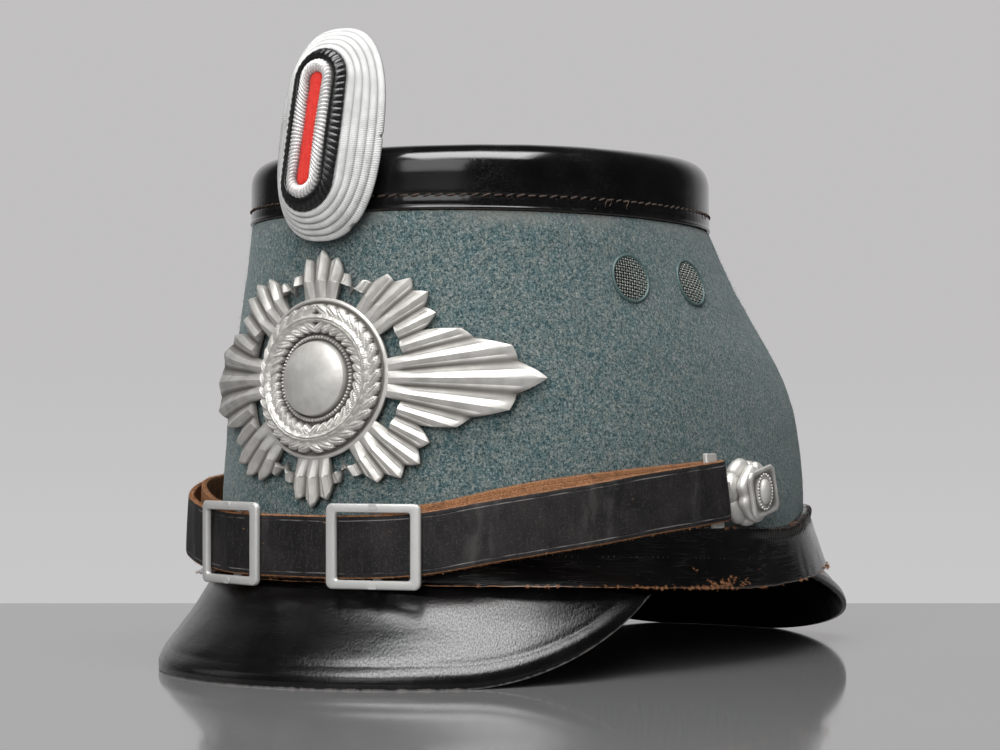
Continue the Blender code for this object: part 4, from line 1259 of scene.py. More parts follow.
def build_visor(visor, material):
    """A visor with a raised bead along its rim and a blunt lower edge."""
    piece = Piece(visor.name + "_leather")
    turn = np.linspace(-pi / 2, pi / 2, VISOR_COLUMNS)
    level = np.zeros(VISOR_COLUMNS)
    shares = np.concatenate([np.linspace(0, 0.8, 50)[:-1], np.linspace(0.8, 1.0, 36)])
    slant = visor_surface(visor, turn, level, level)[2]
    above = (1 - shares)[:, None] * slant
    near_end = np.clip(slant / 0.02, 0, 1)
    beads = 0.00050 * bump(above, 0.0034, 0.0022) - 0.00016 * bump(above, 0.0072, 0.0011)
    beads *= near_end
    outer = np.stack([visor_surface(visor, turn, level + share, bead)[0]
                      for share, bead in zip(shares, beads)])
    normals = outwards(grid_normals(outer, False), outer, (0.0, 0.0, 0.0))
    uneven = unevenness(outer, (0.00003, 0.009, 61), (0.00014, 0.045, 62), (0.00002, 0.003, 63))
    fade = soft_step(1 - shares, 0.0, 0.06)[:, None]
    outer += normals * (uneven * fade)[..., None]
    inner = []
    for share in shares[::-7]:
        points, shift, _ = visor_surface(visor, turn, level + share, level)
        points = points + shift * VISOR_THICK
        points[:, 2] = np.maximum(points[:, 2], outer[-1][:, 2])
        inner.append(points)
    whole = np.concatenate([outer, np.stack(inner)])
    place = surface_place(turn * PLACE_RADIUS, backed(above / MM, whole.shape, 60.0))
    edge = backed(bump(above, 0.0, 0.0009), whole.shape)
    piece.grid(
        whole.transpose(1, 0, 2), close_columns=True, cap=True,
        place=place.transpose(1, 0, 2), edge=edge.T.ravel(),
    )
    return piece.finish(material, [visor.name], sharp=radians(50))


# ---------------------------------------------------------------- chin strap


def strap_middle(angle, side):
    spot = np.minimum(np.degrees(np.abs(angle)), STRAP_ROWS[-1].angle)
    return smooth_rows(STRAP_ROWS, "left" if side > 0 else "right", spot)


def bar_share(angle):
    return np.minimum(np.abs(angle) / STRAP_BAR_ANGLE, 1.0)


def strap_proud(angle):
    return STRAP_FRONT_PROUD + (STRAP_SIDE_PROUD - STRAP_FRONT_PROUD) * bar_share(angle) ** 4


def strap_layer(angle, side, face, up, depth, lift=0.0):
    """Points of a strap layer: up from its middle, and depth behind its face."""
    tilt = STRAP_TILT * bar_share(angle) ** 2
    share = up / (STRAP_WIDE / 2)
    points = body_at(BODY_FOOT, angle, face - depth - share * tilt)
    points[..., 2] = strap_middle(angle, side) + lift + up
    return points


def inner_lift(angle):
    """How much higher than the outer layer the strap's inner layer lies."""
    return INNER_LIFT * (1 - bar_share(angle) ** 3) + SIDE_LIFT * bump(np.degrees(angle), 44, 15)


def bar_place():
    """Placing in the left strap's fold: along the strap, up and outwards, about the side bar."""
    middle = strap_middle(STRAP_BAR_ANGLE, 1)
    inwards = STRAP_THICK + LAYER_SPACE / 2
    ends = []
    for end in (-1, 1):
        point = body_at(
            BODY_FOOT, STRAP_BAR_ANGLE, strap_proud(STRAP_BAR_ANGLE) - inwards - end * STRAP_TILT
        )
        point[2] = middle + end * STRAP_WIDE / 2
        ends.append(point)
    low, high = ends
    upward = unit(high - low)
    along = body_at(BODY_FOOT, STRAP_BAR_ANGLE + 0.01) - body_at(BODY_FOOT, STRAP_BAR_ANGLE - 0.01)
    outward = unit(np.cross(along, upward))
    if outward[0] < 0:
        outward = -outward
    along = unit(along - upward * np.dot(along, upward))
    return placing((low + high) / 2, along, upward, outward)


def strap_outline():
    """The strap's cross-section: (up, depth, grain side, edge) round its rounded rectangle."""
    half, thick, corner = STRAP_WIDE / 2, STRAP_THICK, 0.00045
    rows = []
    for up in np.linspace(-half + corner, half - corner, 30):
        crown = 0.00014 * (1 - (up / half) ** 4)
        rows.append((up, -crown, 1.0, max(0.0, (abs(up) / half) ** 40)))
    for a in np.linspace(0, pi / 2, 5)[1:]:
        rows.append(
            (half - corner + corner * sin(a), corner - corner * cos(a), 1.0 - a / (pi / 2), 1.0)
        )
    for a in np.linspace(0, pi / 2, 5):
        rows.append((half - corner + corner * cos(a), thick - corner + corner * sin(a), 0.0, 1.0))
    for up in np.linspace(half - corner, -half + corner, 14)[1:-1]:
        rows.append((up, thick, 0.0, 0.0))
    for a in np.linspace(pi / 2, 0, 5):
        rows.append((-half + corner - corner * cos(a), thick - corner + corner * sin(a), 0.0, 1.0))
    for a in np.linspace(pi / 2, 0, 5)[:-1]:
        rows.append(
            (-half + corner - corner * sin(a), corner - corner * cos(a), 1.0 - a / (pi / 2), 1.0)
        )
    return np.array(rows)


def build_strap(side_name, side, outer_end, tuck, material):
    """One strap: its outer layer, the fold round the side bar, and the layer behind."""
    outline = strap_outline()
    up, depth, grain, edge = outline.T
    sections, along, crease_mask = [], [], []
    scale = STRAP_FRONT_PROUD + 0.09
    for angle in np.linspace(radians(outer_end), STRAP_BAR_ANGLE, 230):
        turn = pi * min(1, max(0, (TUCK_START - angle) / TUCK_RUN))
        face = strap_proud(angle) - tuck * 0.5 * (1 - cos(turn)) * (STRAP_THICK + GAP)
        over_pin = (abs(angle) - BUCKLE_ANGLE) * scale
        bulge = 0.00095 * bump(over_pin, 0.0, 0.0042)
        wave = 0.00010 * sin(angle * 23 + side) + 0.00004 * sin(angle * 61)
        crease = sum(
            strength * bump(np.degrees(angle) - 0.6 * up / MM * 0.12, where, wide)
            for where, wide, strength in STRAP_CREASES
        )
        face_push = bulge * (1 - 0.25 * (up / (STRAP_WIDE / 2)) ** 2) + wave * soft_step(
            np.abs(over_pin), 0.008, 0.02
        )
        face_push = face_push + 0.00006 * crease * grain
        sections.append(strap_layer(angle, side, face + face_push, up, depth))
        along.append(angle * scale / MM)
        crease_mask.append(crease)
    outer_count = len(sections)
    fold_place = bar_place()
    near = LAYER_SPACE / 2
    fold_side = strap_middle(STRAP_BAR_ANGLE, side) - strap_middle(STRAP_BAR_ANGLE, 1)
    for turn in np.linspace(0, pi, 18)[1:-1]:
        radius = near + STRAP_THICK - depth
        points = fold_place(radius * sin(turn), up, radius * cos(turn))
        points[:, 2] += fold_side
        sections.append(points)
        along.append(along[-1] + 0.35)
        crease_mask.append(0 * up)
    for angle in np.linspace(STRAP_BAR_ANGLE, STRAP_INNER_END, 150):
        face = strap_proud(angle) - STRAP_THICK - LAYER_SPACE
        sections.append(
            strap_layer(angle, side, face - STRAP_THICK, up, -depth, inner_lift(angle))
        )
        along.append(along[-1] + 0.65)
        crease_mask.append(0 * up)
    sections = mirrored(np.stack(sections), side)
    place = np.zeros(sections.shape)
    place[..., 0] = np.array(along)[:, None] + 200 * (side < 0)
    place[..., 1] = up / MM
    place[..., 2] = depth / MM
    count = len(sections)
    grain_side = np.tile(grain, (count, 1))
    if side < 0:
        grain_side[outer_count:] = 0.0
    uneven = unevenness(sections, (0.00005, 0.003, 71), (0.00010, 0.010, 72))
    centre = sections.mean(1, keepdims=True)
    sections = sections + unit(sections - centre) * uneven[..., None] * 0.7
    piece = Piece("chin_strap_" + side_name + "_leather")
    piece.grid(
        sections, close_columns=True, cap=True, place=place, grain_side=grain_side.ravel(),
        edge=np.tile(edge, count), crease=np.stack(crease_mask).ravel(),
    )
    return piece.finish(material, ["chin_strap_" + side_name], sharp=radians(60))


def build_buckle(side_name, side, material):
    """A cast square slide: rounded frame over the strap, and a pin behind it with two nubs."""
    height = strap_middle(BUCKLE_ANGLE, side)

    def place(along, up, out):
        along, up, out = np.broadcast_arrays(along, up, out)
        angle = BUCKLE_ANGLE + angle_along(along, BODY_FOOT, STRAP_FRONT_PROUD)
        points = body_at(BODY_FOOT, angle, STRAP_FRONT_PROUD + out)
        points[..., 2] = height + up
        return mirrored(points, side)

    def rounded(half_wide, half_high, corner, steps=8):
        rows = []
        for quadrant in range(4):
            for a in np.linspace(0, pi / 2, steps):
                turn = quadrant * pi / 2 + a
                x = (half_wide - corner) * (1 if quadrant in (0, 3) else -1) + corner * cos(turn)
                y = (half_high - corner) * (1 if quadrant in (0, 1) else -1) + corner * sin(turn)
                rows.append((x, y))
        return np.array(rows)

    half = BUCKLE_WIDE / 2
    outer = rounded(half, BUCKLE_HALF_HIGH, 0.0019)
    inner = rounded(half - BUCKLE_SIDE_BAR, STRAP_WIDE / 2 + 2 * GAP, 0.0009)
    loops = []
    for across, out in BUCKLE_PROFILE:
        spots = outer + (inner - outer) * across
        loops.append(place(spots[:, 0], spots[:, 1], GAP + BUCKLE_THICK * out))
    piece = Piece("buckle_" + side_name + "_cast")
    piece.grid(np.stack(loops), close_rows=True, close_columns=True)
    back = STRAP_THICK + LAYER_SPACE - GAP
    bar = BUCKLE_HALF_HIGH - 0.0009
    path = np.array([
        (bar, 0.0018), (bar, 0.0003), (bar - 0.0001, -0.0020), (bar - 0.0016, -back + 0.0012),
        (0.0, -back + 0.0010), (-bar + 0.0016, -back + 0.0012), (-bar + 0.0001, -0.0020),
        (-bar, 0.0003), (-bar, 0.0018),
    ])
    tangent = unit(np.gradient(path, axis=0))
    normal = np.stack([-tangent[:, 1], tangent[:, 0]], -1)
    spread = []
    for x, lift in PIN_SECTION:
        shifted = path + normal * lift * PIN_HALF_THICK
        spread.append(
            place(np.full(len(path), x * BUCKLE_PIN_WIDE / 2), shifted[:, 0], shifted[:, 1])
        )
    piece.grid(np.stack(spread, 1), close_columns=True, cap=True)
    return piece.finish(material, ["buckle_" + side_name], sharp=radians(40))


def build_hanger(side_name, side, material):
    """The T-shaped hanger: its bar in the strap's fold, its tongue towards the rosette."""
    place = bar_place()
    shift = strap_middle(STRAP_BAR_ANGLE, side) - strap_middle(STRAP_BAR_ANGLE, 1)
    rosette = body_at(ROSETTE_HEIGHT, angle_at_y(ROSETTE_HEIGHT, ROSETTE_Y))
    origin = place(0.0, 0.0, 0.0)
    along = place(1.0, 0.0, 0.0) - origin
    tongue_end = float(np.dot(rosette - origin, along)) - ROSETTE_RADIUS - TONGUE_SHORT

    def put(a, up, out):
        point = place(a, up, out)
        return (side * point[0], point[1], point[2] + shift)

    bar_half = STRAP_WIDE / 2 + BAR_OVERHANG
    edges = (
        (-BAR_WIDE, 0.0, tongue_end),
        (-bar_half, -TONGUE_HIGH / 2, TONGUE_HIGH / 2, bar_half),
        (-BAR_THICK / 2, BAR_THICK / 2),
    )
    filled = {(0, j, 0) for j in range(3)} | {(1, 1, 0)}
    name = "hanger_" + side_name
    mesh = cell_mesh(name + "_cast", edges, filled, put, 0.0005)
    return dress(mesh, name + "_cast", material, [name])


# ---------------------------------------------------------------- metal fittings


def build_rosette(side_name, side, material):
    """A cast rosette: broad lobes, leaves, and a square head with a beaded oval and a dome."""
    place = facing_place(ROSETTE_HEIGHT, angle_at_y(ROSETTE_HEIGHT, ROSETTE_Y), side)
    piece = Piece("rosette_" + side_name + "_cast")
    turn = turns(144)

    def layer(rows, outline, deep=None):
        rings, masks = [], []
        for radius, out, dark in rows:
            reach = radius * outline(turn, radius)
            lift = out + (deep(turn, radius) if deep else 0.0)
            rings.append(place(reach * np.cos(turn), reach * np.sin(turn), lift))
            # dark is painted shade, deepest at a layer's foot and where the next layer sits on it.
            masks.append(np.full(len(turn), dark))
        piece.grid(np.stack(rings), close_columns=True, cap=True, hollow=np.stack(masks).ravel())

    def lobes(turn, radius):
        share = soft_step(radius, 0.004, 0.0095)
        return 1 - 0.13 * share * (1 - np.abs(np.cos(3 * turn + 0.5)) ** 0.5)

    def folds(turn, radius):
        return -0.0009 * (1 - np.abs(np.cos(3 * turn + 0.5)) ** 0.6) * soft_step(
            radius, 0.003, 0.008
        )

    layer(ROSETTE_LOBES, lobes, folds)

    def leaves(turn, radius):
        share = soft_step(radius, 0.004, 0.0085)
        notch = bump((turn - 3.3 + pi) % (2 * pi) - pi, 0.0, 0.22)
        slit = bump((turn - 1.75 + pi) % (2 * pi) - pi, 0.0, 0.09)
        return 1 - share * (0.05 * (1 - np.cos(4 * turn)) + 0.20 * notch + 0.12 * slit)

    layer(ROSETTE_LEAVES, leaves)

    def square(turn, radius):
        share = soft_step(radius, 0.0045, 0.0075)
        quarter = (turn + pi / 4 - 0.22) % (pi / 2) - pi / 4
        straight = 1 / np.maximum(np.cos(quarter), 0.78)
        return 0.86 * (1 + share * (straight - 1))

    layer(ROSETTE_SQUARE, square)

    def egg(turn, _):
        return 1 / np.sqrt((np.cos(turn) / 0.82) ** 2 + (np.sin(turn) / 1.12) ** 2)

    layer(ROSETTE_DOME, egg)
    ring = turns(8)
    for k in range(BEADS):
        spot = 2 * pi * k / BEADS
        reach = BEAD_OVAL * egg(spot, 0.0)
        x, y = reach * cos(spot), reach * sin(spot)
        rings = []
        for a in np.linspace(0, pi, 7)[1:-1]:
            r, out = BEAD_RADIUS * sin(a), 0.0098 - BEAD_RADIUS * cos(a)
            rings.append(place(x + r * np.cos(ring), y + r * np.sin(ring), out))
        piece.grid(np.stack(rings), close_columns=True, cap=True)
    return piece.finish(material, ["rosette_" + side_name], sharp=radians(48))


def vent_places():
    for side, side_name in ((1, "left"), (-1, "right")):
        for place_name, y in VENT_PLACES:
            place = facing_place(VENT_HEIGHT, angle_at_y(VENT_HEIGHT, y), side)
            yield f"vent_{side_name}_{place_name}", place


def build_vents(ring_material, wire_material):
    """Rolled eyelets with a dome of woven wire in each."""
    for name, place in vent_places():
        turn = turns(72)
        piece = Piece(name + "_eyelet")
        rings = [place(r * np.cos(turn), r * np.sin(turn), out) for r, out in EYELET_PROFILE]
        piece.grid(np.stack(rings), close_rows=True, close_columns=True)
        piece.finish(ring_material, [name + "_ring"], sharp=radians(60))
        gauze = Piece(name + "_gauze")
        reach, pitch = GAUZE_REACH, GAUZE_PITCH
        count = int(reach / pitch)
        outward = place(0.0, 0.0, 1.0) - place(0.0, 0.0, 0.0)
        for across in (0, 1):
            for k in range(-count, count + 1):
                offset = k * pitch
                half = (reach**2 - offset**2) ** 0.5
                line = np.linspace(-half, half, max(6, int(half / pitch * 8)))
                beat = np.cos(pi * (line / pitch + k + across))
                dome = 0.0002 + 0.0006 * (1 - (line**2 + offset**2) / reach**2)
                level = np.full_like(line, offset)
                a, b = (line, level) if across else (level, line)
                x = a * cos(GAUZE_TURN) - b * sin(GAUZE_TURN)
                y = a * sin(GAUZE_TURN) + b * cos(GAUZE_TURN)
                # The mask paints shade on each wire where it dips under a crossing wire.
                gauze.tube(
                    place(x, y, dome + GAUZE_WAVE * beat), WIRE_RADIUS + 0.00005 * beat, 5,
                    up=outward, hollow=soft_step(-beat, -0.85, 0.1),
                )
        gauze.finish(wire_material, [name + "_mesh"])


def cockade_matrix():
    turn = Matrix.Rotation(COCKADE_ROLL, 4, "Y") @ Matrix.Rotation(-COCKADE_LEAN, 4, "X")
    return np.array(Matrix.Translation((COCKADE_X, COCKADE_BACK_Y, COCKADE_MID)) @ turn)


COCKADE = cockade_matrix()


def slot_outline(half_width, half_height, share):
    """A slot with round ends: across and up, by the share of its girth from the top."""
    share = share % 1.0
    right = np.where(share < 0.5, 1, -1)
    half = np.where(share < 0.5, share, 1 - share)
    over = np.where(half < 0.25, 1, -1)
    quarter_share = np.where(half < 0.25, half, 0.5 - half) * 4
    bend = pi * half_width / 2
    straight = max(half_height - half_width, 0.0)
    walked = quarter_share * (bend + straight)
    turn = np.minimum(walked, bend) / half_width
    across = half_width * np.sin(turn)
    up = straight + half_width * np.cos(turn) - np.maximum(walked - bend, 0)
    return right * across, over * up


def round_outline(half_width, half_height, share):
    """The cockade's full oval, by the share of its girth from the top."""
    fine = np.linspace(0, 2 * pi, 1201)
    up, across = oval(fine, COCKADE_POWER)
    points = np.stack([half_width * across, half_height * up, 0 * up], -1)
    lengths = arc_lengths(points)
    at = (share % 1.0) * lengths[-1]
    return np.interp(at, lengths, points[:, 0]), np.interp(at, lengths, points[:, 1])


def cockade_at(half_width, half_height, out, share):
    """Points round the cockade: slot-shaped in its middle, oval at its rim."""
    blend = soft_step(half_width, 0.0085, 0.0187)
    slot = slot_outline(half_width, half_height, share)
    rim = round_outline(half_width, half_height, share)
    across, up = ((1 - blend) * a + blend * b for a, b in zip(slot, rim))
    stand = out * (1 - COCKADE_TILT * up)
    local = np.stack([across, -stand, up - COCKADE_DROOP * out], -1)
    return local @ COCKADE[:3, :3].T + COCKADE[:3, 3]


def girth_of(half_width, half_height):
    return arc_lengths(cockade_at(half_width, half_height, 0.0, np.linspace(0, 1, 801)))[-1]


def build_cockade_shell(material):
    """The corded silver shell: five rounded ridges of twisted cord round the rings."""
    piece = Piece("cockade_corded_shell")
    count = np.arange(SHELL_COLUMNS)
    turn = count / SHELL_COLUMNS
    ribs = round(girth_of(0.0150, 0.0278) / RIB_PITCH)
    table = np.array(SHELL_OUTSIDE)
    steps = np.hypot(np.diff(table[:, 0]), np.diff(table[:, 2]))
    walked = np.concatenate([[0], np.cumsum(steps)]) / steps.sum()
    rings, hollows = [], []
    forward = -COCKADE[:3, 1]

    def outline(s):
        return np.array([np.interp(s, walked, column) for column in table.T])

    for s in np.linspace(0, 1, SHELL_RINGS):
        half_w, half_h, out = outline(s)
        slope = (outline(min(1, s + 0.02)) - outline(max(0, s - 0.02)))[[0, 2]]
        slope /= np.linalg.norm(slope)
        wave = abs(sin(pi * SHELL_RIDGES * s))
        across = (s * SHELL_RIDGES) % 1.0 - 0.5
        rib = np.cos(2 * pi * (count * ribs / SHELL_COLUMNS + 0.9 * across))
        rise = 0.00060 * wave**0.45 - 0.0003 + 0.00016 * rib * wave
        line = cockade_at(half_w, half_h, out, turn)
        away = unit(cockade_at(half_w + MM, half_h + MM, out, turn) - line)
        chips = 0.0007 * bump(turn, 0.258, 0.004) + 0.0009 * bump(turn, 0.425, 0.006)
        chips = chips * bump(s, 1.0, 0.07)
        rings.append(
            line + rise[:, None] * (slope[0] * forward - slope[1] * away) - chips[:, None] * away
        )
        # Painted shade in the valleys between the ridges and between the ribs; the back rows get a
        # fixed painted shade below.
        hollows.append(np.clip(0.95 - wave**0.4 * 0.85 - 0.40 * rib, 0, 1))
    inside = [cockade_at(*row, turn) for row in SHELL_INSIDE]
    whole = np.concatenate([np.stack(rings), np.stack(inside)])
    hollow = backed(np.stack(hollows), whole.shape, 0.6)
    piece.grid(whole, close_columns=True, cap=True, hollow=hollow.ravel())
    return piece.finish(material, ["cockade_shell"])


def build_cord_ring(name, nodes, material, centre, radius, tilt, strands, slant, depth, bare):
    """A closed cord round the cockade: an oval ring with strands wound or twisted round it.

    tilt turns its long way down towards the rim. bare is how far its inner side loses its strands.
    """
    piece = Piece(name)
    columns = strands * 9
    mid_w, mid_h, mid_out = centre
    count = np.arange(columns)
    turn = count / columns
    rings, hollows = [], []
    line = cockade_at(mid_w, mid_h, mid_out, turn)
    away = unit(cockade_at(mid_w + MM, mid_h + MM, mid_out, turn) - line)
    forward = -COCKADE[:3, 1]
    long_way = radius[0] * (cos(tilt) * away - sin(tilt) * forward)
    short_way = radius[1] * (sin(tilt) * away + cos(tilt) * forward)
    for around in turns(CORD_SIDES):
        along, across = cos(around), sin(around)
        phase = 2 * pi * count * strands / columns + slant * along
        groove = np.abs(np.cos(phase / 2)) ** 0.7
        plain = bare * max(soft_step(-along, -0.1, 0.35), 0.8 * soft_step(along, 0.72, 0.95))
        swell = (1 - depth * (1 - plain) * (1 - groove))[:, None]
        rings.append(line + swell * (along * long_way + across * short_way))
        # Painted shade in the grooves between the strands; the plain smooth band is dark too.
        hollows.append(np.clip(np.maximum(1.35 - 1.6 * groove, plain), 0, 1))
    piece.grid(
        np.stack(rings), close_rows=True, close_columns=True, hollow=np.stack(hollows).ravel()
    )
    return piece.finish(material, nodes)


def build_cockade_core(material):
    """The felt strip in the middle of the cockade, with soft rounded edges."""
    piece = Piece("cockade_felt_core")
    turn = np.arange(200) / 200
    rings = np.stack([cockade_at(*row, turn) for row in CORE_ROWS])
    rings += 0.00012 * np.stack([soft_noise(rings, 0.0011, 81 + k) for k in range(3)], -1)
    piece.grid(rings, close_columns=True, cap=True)
    random = np.random.default_rng(85)
    count = CORE_FIBRES
    spot = random.uniform(0, 1, count)
    share = random.uniform(0.1, 1.0, count)
    edge = cockade_at(0.0021, 0.0166, 0.0110, spot)
    middle = cockade_at(0.0003, 0.0148, 0.0112, spot)
    roots = middle + (edge - middle) * share[:, None]
    along = random.normal(0, 1, (count, 3))
    outward = np.tile(-COCKADE[:3, 1], (count, 1))
    piece.fibres(roots, along, outward, random.uniform(0.0004, 0.0011, count),
                 np.full(count, 0.00006), random.uniform(0.0, 0.0002, count),
                 random.uniform(-0.0002, 0.0002, count))
    return piece.finish(material, ["cockade_core"], open_sheet=True)


def star_radius(turn):
    wide = (np.abs(np.sin(turn)) / STAR_REACH_WIDE) ** STAR_POWER
    high = (np.abs(np.cos(turn)) / STAR_REACH_HIGH) ** STAR_POWER
    return (wide + high) ** (-1 / STAR_POWER) * (
        1 - STAR_NOTCH * (1 - np.abs(np.cos(turn * STAR_POINTS / 2)) ** 0.8)
    )


def wreath_relief(radius, turn):
    """Height of the leaf wreath: pairs of pointed leaves that climb both sides from the foot."""
    height = np.zeros(np.broadcast(radius, turn).shape)
    for half in (1, -1):
        for k in range(LEAF_STATIONS):
            spot = half * (pi - (k + 0.35) * pi / LEAF_STATIONS)
            shift = (turn - spot + pi) % (2 * pi) - pi
            for offset, slant, high in LEAVES:
                u = -half * shift * LEAF_CIRCLE + (0.0 if slant else -0.0006)
                v = radius - LEAF_CIRCLE - offset
                along = u * cos(slant) + v * sin(slant)
                across = -u * sin(slant) + v * cos(slant)
                t = along / LEAF_LENGTH
                inside = np.clip(1 - t**2, 0, 1)
                reach = LEAF_WIDTH * inside**0.75 * (1 + 0.25 * t) + 1e-6
                body = np.sqrt(np.clip(1 - (across / reach) ** 2, 0, 1)) * np.sqrt(inside)
                vein = 0.22 * bump(across, 0.0, 0.00014)
                vein = vein + 0.10 * np.abs(np.sin(along * 5200 + across * 4200))
                leaf = high * (body > 0) * (0.45 + 0.55 * body) * (1 - vein * (body > 0))
                height = np.maximum(height, leaf)
    return height


def build_front_plate(material):
    """A rayed star round a leaf wreath and a plain domed boss, with gaps cut through it."""
    columns = PLATE_COLUMNS
    turn = turns(columns)
    rays = STAR_POINTS * RAYS_IN_POINT
    beat = (turn * rays / (2 * pi)) % 1.0
    ridge = np.abs(2 * beat - 1)
    tip = star_radius(turn) * (1 - (RAY_NOTCH + 0.02) * (1 - ridge))

    def ring(radius, out):
        radius, out = np.broadcast_to(radius, columns), np.broadcast_to(out, columns)
        height = PLATE_MID + radius * np.cos(turn)
        angle = angle_along(radius * np.sin(turn), height, PLATE_STAND)
        return body_at(height, angle, PLATE_STAND + out)

    rings, hollows = [], []

    # A row's third value is painted shade: low relief, the valleys between rays, the gaps and the
    # back are darker.
    def put(radius, out, hollow=0.0):
        rings.append(ring(radius, out))
        hollows.append(np.broadcast_to(np.clip(hollow, 0, 1), columns))

    for radius in np.linspace(0.0006, BOSS_RADIUS - 0.0008, 9):
        dome = 0.0024 + 0.0040 * (1 - (radius / BOSS_RADIUS) ** 2) ** 0.6
        put(radius, dome)
    put(BOSS_RADIUS - 0.0004, 0.0022, 0.8)
    beads = np.abs(np.cos(turn * 36)) ** 0.7
    for radius in np.linspace(BOSS_RADIUS, WREATH_INNER, 6):
        arch = 1 - abs(2 * (radius - BOSS_RADIUS) / (WREATH_INNER - BOSS_RADIUS) - 1) ** 2
        put(radius, 0.0017 + 0.0012 * arch * beads, 1 - arch * beads)
    for radius in np.linspace(WREATH_INNER + 0.0002, WREATH_OUTER, 30):
        relief = wreath_relief(radius, turn)
        put(radius, 0.0013 + relief * 1.15, 1 - relief / 0.0018)
    put(WREATH_OUTER + 0.0004, 0.0017, 0.5)
    put(WREATH_OUTER + 0.0008, 0.0018, 0.1)
    put(SLOT_INNER, PLATE_THICK, 0.3)
    slot_row = len(rings) - 1
    arms = 0.0013 + 0.0016 * ridge**0.8
    put(SLOT_OUTER, arms, 1 - 1.6 * ridge)
    for share in np.linspace(0, 1, 26)[1:]:
        radius = SLOT_OUTER + (tip - SLOT_OUTER) * share
        high = 0.0031 - 0.0013 * share
        low = 0.0013 - 0.0003 * share
        fine = -0.00030 * bump(np.abs(beat - 0.5), 0.26, 0.05) * soft_step(share, 1.0, 0.85)
        edge_drop = 0.0004 * soft_step(share, 0.94, 1.0)
        put(radius, low + (high - low) * ridge**1.1 + fine - edge_drop, 1 - 1.5 * ridge)
    front_rows = len(rings)
    for share in (1.0, 0.5, 0.0):
        put(SLOT_OUTER + (tip - SLOT_OUTER) * share, 0.0, 1.0)
    put(SLOT_INNER, 0.0, 1.0)
    put(WREATH_INNER, GAP - PLATE_STAND, 1.0)
    put(0.0045, GAP - PLATE_STAND, 1.0)
    grid = np.stack(rings)
    grid = grid + grid_normals(grid) * (0.00003 * soft_noise(grid, 0.0009, 91))[..., None]
    piece = Piece("star_plate_cast")
    piece.grid(grid, close_columns=True, cap=True, hollow=np.stack(hollows).ravel())
    per_point = columns // STAR_POINTS
    gap_half = per_point // 5
    back_slot = front_rows + 2
    cut = set()
    for point in range(STAR_POINTS):
        middle = per_point * point + per_point // 2
        cut |= {(middle + k) % columns for k in range(-gap_half, gap_half)}
    rows_round_gap = (slot_row, slot_row + 1, back_slot, back_slot + 1)
    gap_inner, gap_outer, back_outer, back_inner = (row * columns for row in rows_round_gap)
    kept = []
    for face in piece.faces:
        row, column = divmod(face[0], columns)
        if len(face) != 4 or row not in (slot_row, back_slot) or column not in cut:
            kept.append(face)
    for column in sorted(cut):
        after = (column + 1) % columns
        for a, b in ((gap_inner, back_inner), (gap_outer, back_outer)):
            kept.append([a + column, a + after, b + after, b + column])
        for end, beyond in ((column, (column - 1) % columns), (after, after)):
            if beyond not in cut:
                kept.append([row + end for row in (gap_inner, gap_outer, back_outer, back_inner)])
    piece.faces = kept
    return piece.finish(material, ["front_plate"], sharp=radians(32))


# ---------------------------------------------------------------- loose threads and fray


# Worn spots of the base band: middle angle and its spread, height above the lower edge, count
BAND_CRUMBS = (
    (79.5, 1.9, 0.0013, 0.0009, 34), (76.0, 2.6, 0.0002, 0.0003, 26),
    (68.0, 4.0, 0.0001, 0.0002, 18), (50.0, 12.0, 0.0001, 0.0002, 14),
    (85.0, 1.0, 0.0014, 0.0013, 9), (90.5, 0.6, 0.0002, 0.0002, 4),
    (89.0, 0.1, 0.0055, 0.0001, 1), (104.0, 8.0, 0.0001, 0.0002, 12),
    (122.0, 2.2, 0.0004, 0.0005, 26), (101.5, 1.1, 0.0175, 0.0004, 9),
    (80.0, 5.0, 0.0178, 0.0003, 8), (73.0, 0.4, 0.0060, 0.0008, 2),
    (150.0, 14.0, 0.0002, 0.0003, 26), (-80.0, 28.0, 0.0002, 0.0004, 40),
    (-150.0, 12.0, 0.0002, 0.0003, 18),
)


